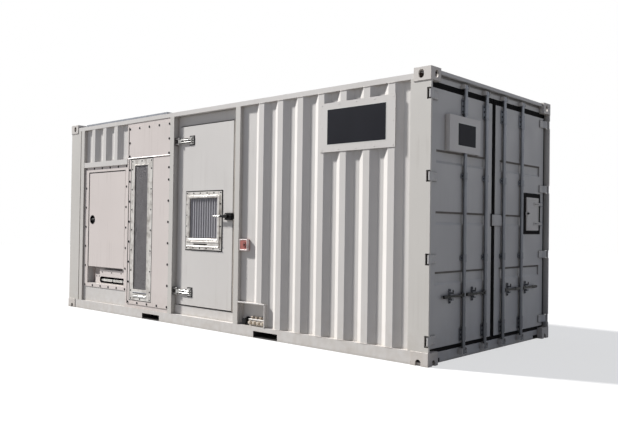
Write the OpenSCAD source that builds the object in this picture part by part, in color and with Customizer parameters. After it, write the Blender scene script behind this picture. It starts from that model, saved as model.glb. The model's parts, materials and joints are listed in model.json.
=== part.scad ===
// Walk-in steel enclosure for a diesel generating set, in the format of a 20 ft freight container.
// Millimetres. Origin at the bottom centre, +X towards the cargo doors, +Z up.
// The side with the personnel door and the service hatch faces -Y.

/* [Overall] */
// Length over the corner castings
length = 6058; // [5000:1:7300]
// Width over the corner castings
width = 2438; // [2000:1:2950]
// Height over the corner castings
height = 2591; // [2150:1:3120]
// Thickness of the insulated side walls
wall_t = 100; // [80:1:130]
// How far the wall and rail faces sit inside the casting faces
skin_inset = 6; // [4:1:9]

/* [Corner castings] */
// Length of a casting along X
casting_l = 178; // [150:1:210]
// Width of a casting along Y
casting_w = 162; // [140:1:190]
// Height of a casting
casting_h = 118; // [105:1:130]
// Wall of a casting
casting_wall = 16; // [12:1:20]
// Thickness of a casting's aperture plate
casting_plate = 28; // [22:1:32]
// Length of the twistlock aperture
aperture_l = 124; // [110:1:130]
// Width of the twistlock aperture
aperture_w = 63.5; // [55:0.5:70]

/* [Frame] */
// Width of the door end post face along X
door_post_w = 213; // [190:1:250]
// Width of the far end post face along X
far_post_w = 254; // [200:1:300]
// Width of the groove beside the far end post
groove_w = 16; // [10:1:24]
// Width of the strip beside the groove
strip_w = 80; // [60:1:100]
// Width of the posts beside the personnel door
mid_post_w = 76; // [60:1:100]
// Height of the top side rail
top_rail_h = 50; // [40:1:70]
// Drop from the casting tops to the rail top
rail_drop = 45; // [30:1:60]
// Underside of the bottom rails above the ground
underside_z = 2; // [1:1:20]
// Depth of a side rail along Y
rail_w = 60; // [50:1:80]
// Plate thickness of the bottom side rail
rail_t = 6; // [5:1:8]
// Width of a fork pocket
pocket_w = 360; // [330:1:380]
// Top of a fork pocket above the ground
pocket_top = 72; // [66:1:90]
// Centre of a fork pocket from the middle
pocket_x = 1025; // [900:1:1100]
// Thickness of the floor plate
floor_t = 18; // [12:1:24]
// Distance between cross members
member_pitch = 290; // [240:1:340]

/* [Side bays] */
// Length of the hatch bay
hatch_bay_w = 1080; // [1050:1:1250]
// Length of the intake bay
intake_bay_w = 919; // [880:1:1050]
// Length of the personnel door bay
door_bay_w = 1118; // [1060:1:1300]
// Distance between corrugation ribs
rib_pitch = 281.7; // [240:0.1:320]
// Width of a rib's outer flat
rib_flat = 75; // [60:1:85]
// Width of a rib's sloped flank
rib_flank = 68; // [55:1:75]
// Depth of the corrugation
rib_depth = 36; // [28:1:42]
// Distance from the post to the first rib's middle
first_rib = 332; // [300:1:360]
// Height of the corrugated panel over the hatch bay
upper_panel_h = 456; // [380:1:550]
// Thickness of the bolted plates
plate_t = 6; // [4:1:8]
// How far the hatch bay sits behind the post faces
hatch_setback = 18; // [12:1:24]

/* [Service hatch] */
// Width of the hatch leaf
hatch_w = 890; // [760:1:910]
// Underside of the hatch leaf
hatch_z0 = 600; // [560:1:660]
// Height of the band between the hatch leaf and the corrugated panel over it
hatch_head = 144; // [120:1:172]
// Thickness of the hatch leaf
hatch_t = 30; // [24:1:36]
// Setback of the leaf face behind its frame
hatch_leaf_setback = 5; // [4:1:10]
// Underside of the recess below the leaf
recess_z0 = 370; // [350:1:400]
// Diameter of the lock pocket
lock_d = 116; // [90:1:130]
// Height of the lock pocket's middle
lock_z = 1246; // [1100:1:1400]

/* [Personnel door] */
// Width of the door leaf
door_w = 959; // [850:1:975]
// Underside of the door leaf
door_z0 = 231; // [200:1:260]
// Height of the header band over the door leaf
door_header_h = 124; // [100:1:150]
// Thickness of the door leaf
door_t = 40; // [34:1:46]
// How far the door leaf sits behind the post faces
door_recess = 48; // [42:1:56]
// How far the frame round the door leaf sits behind the post faces
frame_recess = 72; // [64:1:80]
// Distance from the bay's left edge to the leaf
door_left = 85; // [78:1:90]
// Width of the vent opening
vent_w = 512; // [400:1:560]
// Height of the vent opening
vent_h = 470; // [400:1:560]
// Underside of the vent opening
vent_z0 = 1034; // [950:1:1100]
// Height of the lever's axis
lever_z = 1293; // [1200:1:1400]
// Length of the lever from its axis
lever_l = 222; // [160:1:240]

/* [Cargo doors] */
// Thickness of a cargo door leaf
leaf_t = 42; // [35:0.1:51]
// Width of the gasket's visible band
gasket_w = 39; // [32:1:44]
// Half the gap between the painted leaves
centre_half = 36; // [32:1:42]
// Radius of a lock rod
rod_r = 17; // [14:0.1:20.5]
// Space behind and in front of a lock rod, taken together
rod_space = 13; // [11:0.5:16]
// Distance of the inner lock rods from the middle
rod_inner_y = 184; // [160:1:210]
// Radius of a cam
cam_r = 24; // [21:0.5:25]
// Height of the handles
handle_z = 580; // [520:1:640]
// Width of a swage
swage_h = 120; // [90:1:140]
// Depth of a swage
swage_d = 14; // [10:1:18]
// Width of the inspection hatch leaf
port_w = 293; // [250:1:320]
// Height of the inspection hatch leaf
port_h = 351; // [300:1:400]

/* [Roof] */
// Length of the discharge curb
curb_l = 1900; // [1500:1:2200]
// Distance from the far end to the curb
curb_end = 279; // [240:1:320]
// Width of the curb's frame
curb_frame = 50; // [40:1:60]
// Distance between the curb's grille bars
grille_pitch = 60; // [40:1:80]

/* [Hidden] */
$fn = 48;

moving_gap = 5;          // clearance round a moving piece
swing_gap = 8;           // clearance at the free edge of a swinging leaf
pin_gap = 0.1;           // radial clearance of a pin in its bore

// Main planes
hx = length / 2;
hy = width / 2;
skin = hy - skin_inset;              // outer face of posts and rails
lining = skin - wall_t;              // inner face of the side walls
rail_top = height - rail_drop;
wall_top = rail_top - top_rail_h;    // underside of the top side rails
wall_bottom = casting_h;             // top of the bottom rails
casting_x = hx - casting_l;          // inner faces of the castings
casting_y = hy - casting_w;
casting_top = height - casting_h;    // underside of the top castings
floor_top = wall_bottom + floor_t;

// Stations along the side, from the far end
x_far_post = -hx + far_post_w;
x_strip = x_far_post + groove_w;
x_hatch_bay = x_strip + strip_w;
x_intake_bay = x_hatch_bay + hatch_bay_w;
x_post_1 = x_intake_bay + intake_bay_w;
x_door_bay = x_post_1 + mid_post_w;
x_post_2 = x_door_bay + door_bay_w;
x_ribs = x_post_2 + mid_post_w;
x_door_post = hx - door_post_w;
upper_band_z = wall_top - upper_panel_h;
end_inset = 6;                       // far end faces inside the castings
x_far_wall = -hx + end_inset + wall_t;

// Cargo door end
post_strip_t = 22;                   // thickness of the hinge post edge
leaf_face = hx - 2 * rod_r - rod_space;  // outer face of the leaves
leaf_back = leaf_face - leaf_t;
post_box_x = leaf_back - 15;         // front of the post's box part
hinge_x = hx - 12;                   // hinge axis of the cargo doors
hinge_y = skin - post_strip_t / 2;
hinge_pin_r = 7;
hinge_knuckle_r = 10.5;
hinge_cut_x = 43;                    // depth of the cut in the post edge
hinge_cut_h = 82;
blade_h = 76;
level = height / 2591;               // what the door's heights follow
hinge_z = [for (z = [216, 922, 1641, 2357]) z * level];
swage_z = [for (z = [808, 1342, 1887]) z * level];
end_face = hx - 55;                  // outer face of the sill and the header
sill_top = 98;
header_z0 = casting_top + 10;        // underside of the header
leaf_z0 = 138;                       // painted leaf above the sill
leaf_z1 = casting_top - 48;
gasket_z0 = wall_bottom + 2;         // gasket over the castings
gasket_lips_z = [sill_top + 3, header_z0 - 3];  // gasket between the sill and the header
gasket_z1 = casting_top - 2;         // gasket under the castings
gasket_edge = skin - post_strip_t - 6;   // outer edge of the gasket
leaf_edge = gasket_edge - gasket_w;      // outer edge of the painted leaf
gasket_x0 = leaf_face - 32;
gasket_x1 = leaf_face - 8;
gasket_mid = 6;                      // half gap between the two gaskets

// Inspection hatch in the right cargo door, from the leaf's hinged edge
port_y1 = leaf_edge - 130;
port_y0 = port_y1 - port_w;
port_z1 = hinge_z[2] - 106;
port_z0 = port_z1 - port_h;
port_rim = 22;                       // overlap of the hatch on its opening
port_band = 53;                      // width of the black band round the hatch
port_pin_x = leaf_face + 18;
port_pin_y = port_y1 + 29;
port_pin_r = 5;
port_knuckle_r = 9;
port_hinge_z = [port_z0 + 73, port_z1 - 67];

// Lock rods
rod_x = leaf_face + rod_r + 5;
rod_outer_y = port_y0 - port_band - 85;
rod_y = [-rod_outer_y, -rod_inner_y, rod_inner_y, rod_outer_y];
rod_z0 = 38;
rod_z1 = height - 71;
handle_l = rod_outer_y - rod_inner_y - 41;
bracket_z = [[160, 276], [920 * level - 20, 920 * level + 20], [1676 * level - 20, 1676 * level + 20],
             [leaf_z1 - 170, leaf_z1 - 40]];
cam_z = [[52, 76], [height - 113, height - 89]];
keeper_z = [[40, 92], [header_z0 + 1, header_z0 + 38]];
keeper_gap = 34;                     // rod axis to a keeper's cheek
keeper_t = 8;
retainer_left = 220;                 // handle retainer from its rod
retainer_right = 130;

// Personnel door
door_x0 = x_door_bay + door_left;
door_x1 = door_x0 + door_w;
door_z1 = wall_top - door_header_h;
door_face = -skin + door_recess;     // outer face of the leaf
frame_face = -skin + frame_recess;   // face of the frame round the leaf
door_pin_x = door_x0 - 15;
door_pin_y = -skin + 28;
door_pin_r = 5;
door_knuckle_r = 12;
door_hinge_z = [395, door_z1 - 181];
strap_end = door_pin_x + 262;
latch_keeper_w = 0.7 * (x_post_2 - door_x1 - swing_gap);
vent_x0 = door_x0 + 195;
vent_x1 = vent_x0 + vent_w;
vent_z1 = vent_z0 + vent_h;
vent_side = [72, 64];                // width of the vent frame's left and right side
vent_low = 131;                      // height of the vent frame's bottom bar
vent_proud = 18;
lever_x = door_x1 - 69;
lever_face = -skin + 2;              // outer face of the lever

// Service hatch
hatch_frame_face = -skin + hatch_setback;
hatch_body_face = hatch_frame_face + plate_t;
hatch_face = hatch_frame_face + hatch_leaf_setback;
hatch_x0 = x_hatch_bay + 116;
hatch_x1 = hatch_x0 + hatch_w;
hatch_z1 = upper_band_z - hatch_head;
hatch_open_x1 = hatch_x1 + 13;
hatch_pin_x = hatch_x1 - 8;
hatch_pin_y = hatch_face + 8;
hatch_pin_r = 5;
hatch_frame_z0 = 320;
hatch_frame_z1 = upper_band_z - 70;
recess_back_y = -lining + 38;        // face of the recess's back plate
recess_t = 6;

// Intake bay
grille_x0 = x_intake_bay + 100;
grille_x1 = grille_x0 + 470;
grille_z0 = 220;
grille_z1 = upper_band_z - 20;
grille_rim = 86;                     // width of the grille's frame at the sides
grille_rim_z0 = 140;
grille_rim_z1 = 80;
intake_face = -skin + plate_t;       // face of the wall behind the bolted plates

// Small boxes on the corrugated wall
conn_x0 = x_ribs + 6;
conn_x1 = conn_x0 + 418;
conn_z1 = 366;
conn_back = -lining - 12;
estop_x = x_ribs + 14;
estop_z = 922;
sign_x0 = x_door_post - 1052;
sign_w = 894;
sign_z0 = wall_top - 582;
sign_h = 476;

// Roof
roof_t = 46;
roof_rib = 20;
curb_x0 = -hx + curb_end;
curb_x1 = curb_x0 + curb_l;
curb_y = skin - rail_w - 13;
curb_top = height - 3;

module slab(x, y, z) {
    translate([x[0], y[0], z[0]]) cube([x[1] - x[0], y[1] - y[0], z[1] - z[0]]);
}

module upright(x, y, r, z) {
    translate([x, y, z[0]]) cylinder(r = r, h = z[1] - z[0]);
}

// A cylinder along Y
module cross_pin(x, z, r, y) {
    translate([x, y[1], z]) rotate([90, 0, 0]) cylinder(r = r, h = y[1] - y[0]);
}

module rear() {
    mirror([0, 1, 0]) children();
}

module both_sides() {
    children();
    rear() children();
}

module both_ends() {
    children();
    mirror([1, 0, 0]) children();
}

// An upright slot with round ends, cut through a wall along Y
module slot_y(x, z0, z1, w, y) {
    cross_pin(x, z0 + w / 2, w / 2, y);
    cross_pin(x, z1 - w / 2, w / 2, y);
    slab([x - w / 2, x + w / 2], y, [z0 + w / 2, z1 - w / 2]);
}

// One hollow casting with its outer corner at the origin, reaching to -X, +Y and +Z
module casting(side_z, end_z) {
    side_hole = 56;
    end_hole = 50;
    hole_x = -101;
    hole_y = 92;
    span = aperture_l - aperture_w;
    difference() {
        slab([-casting_l, 0], [0, casting_w], [0, casting_h]);
        slab([-casting_l + casting_wall, -casting_wall], [casting_wall, casting_w - casting_wall],
             [casting_plate, casting_h - 12]);
        for (s = [-1, 1]) upright(hole_x + s * span / 2, hole_y, aperture_w / 2, [-1, casting_plate + 1]);
        slab([hole_x - span / 2, hole_x + span / 2], [hole_y - aperture_w / 2, hole_y + aperture_w / 2],
             [-1, casting_plate + 1]);
        slot_y(hole_x, side_z[0], side_z[1], side_hole, [-1, casting_wall + 1]);
        translate([0, hole_y, 0]) rotate([0, 0, 90])
            slot_y(0, end_z[0], end_z[1], end_hole, [-1, casting_wall + 1]);
    }
}

module casting_ring(side_z, end_z) {
    both_ends() both_sides() translate([hx, -hy, 0]) casting(side_z, end_z);
}

module bottom_castings() {
    color("lightgray") casting_ring([-40, 56], [-40, 52]);
}

module top_castings() {
    color("lightgray") translate([0, 0, height]) mirror([0, 0, 1]) casting_ring([20, 96], [24, 90]);
}

// Post at the cargo door end: a box behind and a thin hinge edge in front
module door_post() {
    difference() {
        union() {
            translate([0, 0, wall_bottom]) linear_extrude(casting_top - wall_bottom) polygon([
                [x_door_post, -skin], [hx, -skin], [hx, -skin + post_strip_t],
                [post_box_x, -skin + post_strip_t], [post_box_x, -lining], [x_door_post, -lining]
            ]);
            slab([x_door_post, casting_x], [-skin, -lining], [casting_top, wall_top]);
        }
        for (z = hinge_z) slab([hx - hinge_cut_x, hx + 1], [-hy, -skin + post_strip_t + 1],
                               [z - hinge_cut_h / 2, z + hinge_cut_h / 2]);
    }
    for (z = hinge_z) upright(hinge_x, -hinge_y, hinge_pin_r, [z - hinge_cut_h / 2, z + hinge_cut_h / 2]);
}

module far_post() {
    slab([-hx + end_inset, x_far_post], [-skin, -lining], [wall_bottom, casting_top]);
    slab([-casting_x, x_far_post], [-skin, -lining], [casting_top, wall_top]);
}

module corner_posts() {
    color("gainsboro") both_sides() {
        door_post();
        far_post();
    }
}

module side_posts() {
    groove_d = 20;
    color("gainsboro") both_sides() {
        slab([x_far_post, x_strip], [-skin + groove_d, -lining], [wall_bottom, wall_top]);
        slab([x_strip, x_hatch_bay], [-skin, -lining], [wall_bottom, wall_top]);
        slab([x_post_1, x_door_bay], [-skin, -lining], [wall_bottom, wall_top]);
        slab([x_post_2, x_ribs], [-skin, -lining], [wall_bottom, wall_top]);
    }
}

module pocket_cut(y) {
    for (s = [-1, 1]) translate([s * pocket_x, 0, 0])
        slab([-pocket_w / 2, pocket_w / 2], y, [underside_z - 1, pocket_top]);
}

module bottom_side_rails() {
    color("gainsboro") both_sides() difference() {
        slab([-casting_x, casting_x], [-skin, -skin + rail_w], [underside_z, wall_bottom]);
        slab([-casting_x - 1, casting_x + 1], [-skin + rail_t, -skin + rail_w + 1],
             [underside_z + rail_t, wall_bottom - rail_t]);
        pocket_cut([-skin - 1, -skin + rail_w + 1]);
    }
}

module top_side_rails() {
    color("gainsboro") both_sides()
        slab([-casting_x, casting_x], [-skin, -skin + rail_w], [wall_top, rail_top]);
}

// Sill and header at the cargo doors, and the two rails of the far end
module end_rails() {
    groove_z0 = casting_top + 54;
    tube_z0 = casting_top + 75;
    notch_w = 112;
    notch_d = 70;
    notch_z = [underside_z + 4, 44];
    color("gainsboro") {
        difference() {
            slab([casting_x, end_face], [-casting_y, casting_y], [underside_z, sill_top]);
            for (s = [-1, 1]) slab([end_face - notch_d, end_face + 1],
                                   [s * (casting_y - notch_w / 2) - notch_w / 2,
                                    s * (casting_y - notch_w / 2) + notch_w / 2],
                                   notch_z);
        }
        translate([0, casting_y, 0]) rotate([90, 0, 0]) linear_extrude(2 * casting_y) polygon([
            [casting_x, header_z0], [end_face, header_z0], [end_face, groove_z0],
            [end_face - 14, groove_z0], [end_face - 14, tube_z0], [end_face + 36, tube_z0],
            [end_face + 36, height - 11], [casting_x, height - 11]
        ]);
        slab([-hx + end_inset, -casting_x], [-casting_y, casting_y], [underside_z, wall_bottom]);
        slab([-hx + end_inset, -casting_x], [-casting_y, casting_y], [casting_top, rail_top]);
    }
}

module underframe() {
    flange_y = skin - rail_w;
    member_w = 45;
    member_t = 5;
    wall = 6;
    half = pocket_w / 2;
    pocket_z0 = underside_z + wall + 2;
    count = floor(2 * (casting_x - member_w) / member_pitch);
    start = -(count - 1) / 2 * member_pitch;
    color("dimgray") {
        for (i = [0:count - 1])
            let (x = start + i * member_pitch)
                if (abs(abs(x) - pocket_x) > half + member_w)
                    translate([x, flange_y, 0]) rotate([90, 0, 0]) linear_extrude(2 * flange_y) polygon([
                        [-member_w / 2, underside_z + wall], [member_w / 2, underside_z + wall],
                        [member_w / 2, underside_z + wall + member_t],
                        [-member_w / 2 + member_t, underside_z + wall + member_t],
                        [-member_w / 2 + member_t, wall_bottom - member_t],
                        [member_w / 2, wall_bottom - member_t],
                        [member_w / 2, wall_bottom], [-member_w / 2, wall_bottom]
                    ]);
        for (s = [-1, 1]) translate([s * pocket_x, 0, 0]) difference() {
            union() {
                slab([-half - wall, half + wall], [-skin + rail_t, skin - rail_t],
                     [underside_z + wall, pocket_top + wall]);
                slab([-half - wall, half + wall], [-flange_y, flange_y], [underside_z, underside_z + wall]);
                slab([-half, half], [-skin + 1, skin - 1], [underside_z, pocket_z0]);
                for (e = [-1, 1]) slab([e * (half + wall / 2) - wall / 2, e * (half + wall / 2) + wall / 2],
                                       [-flange_y, flange_y], [pocket_top, wall_bottom]);
            }
            slab([-half, half], [-skin, skin], [pocket_z0, pocket_top]);
        }
    }
}

module floor_deck() {
    color("gray") {
        slab([-casting_x, casting_x], [-lining, lining], [wall_bottom, floor_top]);
        slab([casting_x, leaf_back - 10], [-casting_y + 1, casting_y - 1], [sill_top, floor_top]);
    }
}

module roof_panel() {
    pitch = 209;
    count = floor((2 * casting_x - 60) / pitch);
    start = -count * pitch / 2;
    low = rail_top - roof_rib;
    color("whitesmoke") translate([0, skin - rail_w, 0]) rotate([90, 0, 0])
        linear_extrude(2 * (skin - rail_w)) polygon(concat(
            [[-casting_x, rail_top - roof_t], [-casting_x, rail_top]],
            [for (i = [0:count - 1])
                for (p = [[0, rail_top], [26, low], [76, low], [102, rail_top]])
                    [start + 50 + i * pitch + p[0], p[1]]],
            [[casting_x, rail_top], [casting_x, rail_top - roof_t]]
        ));
}

module roof_curb() {
    color("gainsboro") difference() {
        slab([curb_x0, curb_x1], [-curb_y, curb_y], [rail_top, curb_top]);
        slab([curb_x0 + curb_frame, curb_x1 - curb_frame], [-curb_y + curb_frame, curb_y - curb_frame],
             [rail_top - 1, curb_top + 1]);
    }
}

module roof_grille() {
    bar_t = 6;
    x0 = curb_x0 + curb_frame;
    x1 = curb_x1 - curb_frame;
    y = curb_y - curb_frame;
    z = [rail_top + 1, curb_top - 4];
    count = floor((x1 - x0) / grille_pitch);
    color("silver") {
        for (i = [1:count - 1]) slab([x0 + i * grille_pitch, x0 + i * grille_pitch + bar_t], [-y, y], z);
        for (f = [-0.5, 0, 0.5]) slab([x0, x1], [f * y - bar_t / 2, f * y + bar_t / 2], z);
    }
}

// Outline of a ribbed wall from x0 to x1, with its ribs at the given middles
module ribbed_outline(x0, x1, ribs) {
    half = rib_flat / 2;
    face = -skin + 2;
    trough = face + rib_depth;
    polygon(concat(
        [[x0, -lining], [x0, trough]],
        [for (c = ribs)
            for (p = [[-half - rib_flank, trough], [-half, face], [half, face], [half + rib_flank, trough]])
                [c + p[0], p[1]]],
        [[x1, trough], [x1, -lining]]
    ));
}

module corrugated_wall() {
    reach = rib_flat / 2 + rib_flank;
    count = floor((x_door_post - reach - x_ribs - first_rib) / rib_pitch) + 1;
    translate([0, 0, wall_bottom]) linear_extrude(wall_top - wall_bottom)
        ribbed_outline(x_ribs, x_door_post, [for (i = [0:count - 1]) x_ribs + first_rib + i * rib_pitch]);
}

module front_corrugated_wall() {
    color("whitesmoke") difference() {
        corrugated_wall();
        slab([conn_x0, conn_x1], [-hy, conn_back], [wall_bottom - 1, conn_z1]);
    }
}

module rear_corrugated_wall() {
    color("whitesmoke") rear() corrugated_wall();
}

// Corrugated panel over the hatch bay, with a flat band under it
module upper_panels() {
    pitch = 280;
    ribs = [for (i = [0:2]) x_hatch_bay + 241 + i * pitch];
    color("whitesmoke") both_sides() {
        translate([0, 0, upper_band_z]) linear_extrude(wall_top - upper_band_z)
            ribbed_outline(x_hatch_bay, x_intake_bay, ribs);
        slab([x_hatch_bay, x_intake_bay], [-skin + 2, -lining], [hatch_frame_z1, upper_band_z]);
    }
}

// Wall of the hatch bay, open for the leaf and for the recess under it, with the leaf's two pivots
module hatch_wall() {
    lug_h = 14;
    color("whitesmoke") {
        difference() {
            slab([x_hatch_bay, x_intake_bay], [hatch_body_face, -lining], [wall_bottom, hatch_frame_z1]);
            slab([hatch_x0 - moving_gap, hatch_open_x1], [-hy, -lining + 1],
                 [recess_z0, hatch_z1 + moving_gap]);
        }
        upright(hatch_pin_x, hatch_pin_y, hatch_pin_r, [hatch_z1 - 20, hatch_z1 + moving_gap + 1]);
        upright(hatch_pin_x, hatch_pin_y, hatch_pin_r, [hatch_z0 - moving_gap - 1, hatch_z0 + 20]);
        slab([hatch_pin_x - 12, hatch_open_x1 + 1], [hatch_body_face, hatch_pin_y + 12],
             [hatch_z0 - moving_gap - lug_h, hatch_z0 - moving_gap]);
    }
}

// Bolted plates: the frame round the hatch, and the two plates of the intake bay
module bolted_frames() {
    edge = 14;
    color("linen") {
        difference() {
            slab([x_hatch_bay + edge, x_intake_bay], [hatch_frame_face, hatch_body_face],
                 [hatch_frame_z0, hatch_frame_z1]);
            slab([hatch_x0 - moving_gap, hatch_open_x1], [-hy, hatch_body_face + 1],
                 [recess_z0, hatch_z1 + moving_gap]);
        }
        both_sides() {
            slab([x_intake_bay + 30, x_post_1], [-skin, intake_face], [upper_band_z + 4, wall_top - 50]);
            difference() {
                slab([x_intake_bay + 40, x_post_1], [-skin, intake_face], [165, upper_band_z - 20]);
                slab([grille_x0, grille_x1], [-hy, -lining], [grille_z0, grille_z1 + 1]);
            }
        }
    }
}

// Shallow tray behind the hatch leaf
module service_recess() {
    x = [hatch_x0 - moving_gap, hatch_open_x1];
    z = [recess_z0, hatch_z1 + moving_gap];
    color("lightgray") difference() {
        slab([x[0] - recess_t, x[1] + recess_t], [-lining, recess_back_y + recess_t],
             [z[0] - recess_t, z[1] + recess_t]);
        slab(x, [-lining - 1, recess_back_y], z);
    }
}

// Stepped box at the foot of the tray, with a slot for the filling neck
module fill_box() {
    x0 = hatch_x0 - moving_gap + 274;
    x1 = hatch_open_x1;
    step_w = 141;
    step_h = 125;
    box_h = 196;
    box_face = hatch_face + 25;
    slot_z = recess_z0 + 57;
    slot_r = 43;
    slot_x = x0 + slot_r + 4;
    slot_y = [box_face - 1, box_face + 60];
    color("lightgray") difference() {
        union() {
            slab([x0, x1], [box_face, recess_back_y], [recess_z0, recess_z0 + box_h]);
            slab([x0 - step_w, x0], [box_face + 20, recess_back_y], [recess_z0, recess_z0 + step_h]);
        }
        cross_pin(slot_x, slot_z, slot_r, slot_y);
        slab([slot_x, x1 - 20], slot_y, [slot_z - slot_r, slot_z + slot_r]);
    }
}

module hatch_leaf() {
    pocket_x0 = hatch_x0 + 96;
    pocket_d = 22;
    handle_t = 14;
    color("linen") difference() {
        slab([hatch_x0, hatch_x1], [hatch_face, hatch_face + hatch_t], [hatch_z0, hatch_z1]);
        cross_pin(pocket_x0, lock_z, lock_d / 2, [hatch_face - 1, hatch_face + pocket_d]);
        upright(hatch_pin_x, hatch_pin_y, hatch_pin_r + pin_gap, [hatch_z1 - 21, hatch_z1 + 1]);
        upright(hatch_pin_x, hatch_pin_y, hatch_pin_r + pin_gap, [hatch_z0 - 1, hatch_z0 + 21]);
    }
    color("black")
        slab([pocket_x0 - 42, pocket_x0 + 42], [hatch_face + pocket_d - handle_t, hatch_face + pocket_d],
             [lock_z - 9, lock_z + 9]);
}

module intake_walls() {
    rim = 20;
    color("linen") both_sides() difference() {
        slab([x_intake_bay, x_post_1], [intake_face, -lining], [wall_bottom, wall_top]);
        slab([grille_x0 + rim, grille_x1 - rim], [-hy, -lining + 1], [grille_z0 + rim, grille_z1 - rim]);
    }
}

module intake_grille_frames() {
    color("silver") both_sides() difference() {
        slab([grille_x0, grille_x1], [-skin, intake_face], [grille_z0, grille_z1]);
        slab([grille_x0 + grille_rim, grille_x1 - grille_rim - 14], [-hy, -lining],
             [grille_z0 + grille_rim_z0, grille_z1 - grille_rim_z1]);
    }
}

module intake_grilles() {
    rim = 20;
    color("slategray") both_sides()
        slab([grille_x0 + rim, grille_x1 - rim], [intake_face, intake_face + 12],
             [grille_z0 + rim, grille_z1 - rim]);
}

module door_frames() {
    sill_face = door_face + 4;
    color("gainsboro") both_sides() {
        difference() {
            slab([x_door_bay, x_post_2], [frame_face, -lining], [wall_bottom, wall_top]);
            slab([door_x0 - moving_gap, door_x1 + swing_gap], [-hy, -lining + 1],
                 [door_z0 - moving_gap, door_z1 + moving_gap]);
        }
        slab([x_door_bay, x_post_2], [sill_face, frame_face], [wall_bottom, door_z0 - moving_gap]);
    }
}

// Fixed hinge halves with their pins, and the latch keeper
module door_fixings() {
    ear = [22, 38];
    span = [-8, 8];
    color("silver") {
        for (z = door_hinge_z) {
            slab([x_door_bay, x_door_bay + 8], [-skin + 8, -skin + 62], [z - 45, z + 45]);
            upright(door_pin_x, door_pin_y, door_pin_r, [z - ear[1], z + ear[1]]);
            for (s = [-1, 1]) translate([0, 0, z + s * (ear[0] + ear[1]) / 2]) {
                upright(door_pin_x, door_pin_y, door_knuckle_r, span);
                slab([x_door_bay + 7, door_pin_x], [door_pin_y - 8, door_pin_y + 8], span);
            }
        }
        slab([door_x1 + swing_gap, door_x1 + swing_gap + latch_keeper_w], [door_face, frame_face],
             [lever_z - 34, lever_z + 34]);
    }
}

module door_leaf() {
    slab([door_x0, door_x1], [door_face, door_face + door_t], [door_z0, door_z1]);
}

module personnel_door() {
    color("gainsboro") difference() {
        door_leaf();
        slab([vent_x0, vent_x1], [-hy, -lining], [vent_z0, vent_z1]);
    }
}

module door_hinge_straps() {
    half = 32;
    plate = 45;
    color("silver") for (z = door_hinge_z) difference() {
        union() {
            upright(door_pin_x, door_pin_y, door_knuckle_r, [z - 21, z + 21]);
            slab([door_pin_x, door_pin_x + 40], [door_pin_y - 2, door_pin_y + 8], [z - 21, z + 21]);
            slab([door_pin_x + 30, strap_end - 34], [door_pin_y + 3, door_face], [z - half, z + half]);
            slab([strap_end - 70, strap_end], [door_face - 8, door_face], [z - plate, z + plate]);
        }
        upright(door_pin_x, door_pin_y, door_pin_r + pin_gap, [z - 22, z + 22]);
    }
}

module door_vent_frame() {
    color("silver") difference() {
        union() {
            slab([vent_x0 - vent_side[0], vent_x1 + vent_side[1]], [door_face - 6, door_face],
                 [vent_z0 - vent_low, vent_z1 + 75]);
            slab([vent_x0 - 34, vent_x1 + 34], [door_face - vent_proud, door_face - 6],
                 [vent_z0 - 90, vent_z1 + 34]);
        }
        slab([vent_x0, vent_x1], [-hy, -lining], [vent_z0, vent_z1]);
        slab([vent_x0 + 90, vent_x0 + 340], [-hy, door_face - vent_proud + 8],
             [vent_z0 - 76, vent_z0 - 60]);
    }
}

// Pleated filter in the vent
module door_vent_filter() {
    count = 12;
    pitch = vent_w / count;
    crest = door_face - 4;
    valley = door_face + 14;
    back = door_face + 20;
    color("slategray") translate([0, 0, vent_z0]) linear_extrude(vent_h) polygon(concat(
        [[vent_x0, back], [vent_x0, valley]],
        [for (i = [0:count - 1])
            for (p = [[0.16, valley], [0.34, crest], [0.66, crest], [0.84, valley]])
                [vent_x0 + (i + p[0]) * pitch, p[1]]],
        [[vent_x1, valley], [vent_x1, back]]
    ));
}

module door_latch_body() {
    color("black") {
        slab([lever_x - 45, lever_x + 66], [door_face - 26, door_face], [lever_z - 42, lever_z + 36]);
        cross_pin(lever_x, lever_z, 16, [lever_face + 18, door_face - 20]);
    }
}

module door_lever() {
    color("silver") {
        cross_pin(lever_x, lever_z, 20, [lever_face, lever_face + 17.7]);
        slab([lever_x - lever_l, lever_x], [lever_face, lever_face + 12], [lever_z - 9, lever_z + 9]);
    }
}

module rear_door() {
    color("gainsboro") rear()
        slab([door_x0 - moving_gap, door_x1 + swing_gap], [door_face, door_face + door_t],
             [door_z0 - moving_gap, door_z1 + moving_gap]);
}

module rear_service_wall() {
    color("linen") rear() {
        slab([x_hatch_bay, x_intake_bay], [hatch_body_face, -lining], [wall_bottom, hatch_frame_z1]);
        slab([x_hatch_bay + 14, x_intake_bay - 4], [hatch_frame_face, hatch_body_face + 1],
             [hatch_frame_z0, hatch_frame_z1 - 4]);
    }
}

module far_end_wall() {
    pitch = 250;
    half = rib_flat / 2;
    face = -hx + end_inset + 2;
    trough = face + rib_depth;
    count = floor((2 * lining - 120) / pitch);
    start = -(count - 1) / 2 * pitch;
    color("whitesmoke") translate([0, 0, wall_bottom]) linear_extrude(casting_top - wall_bottom)
        polygon(concat(
            [[x_far_wall, -lining], [trough, -lining]],
            [for (i = [0:count - 1])
                for (p = [[-half - rib_flank, trough], [-half, face],
                          [half, face], [half + rib_flank, trough]])
                    [p[1], start + i * pitch + p[0]]],
            [[trough, lining], [x_far_wall, lining]]
        ));
}

module estop() {
    color("firebrick") {
        slab([estop_x, estop_x + 124], [-skin + 2, -skin + 2 + rib_depth], [estop_z, estop_z + 120]);
        cross_pin(estop_x + 84, estop_z + 62, 20, [-skin - 5, -skin + 3]);
    }
}

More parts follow.
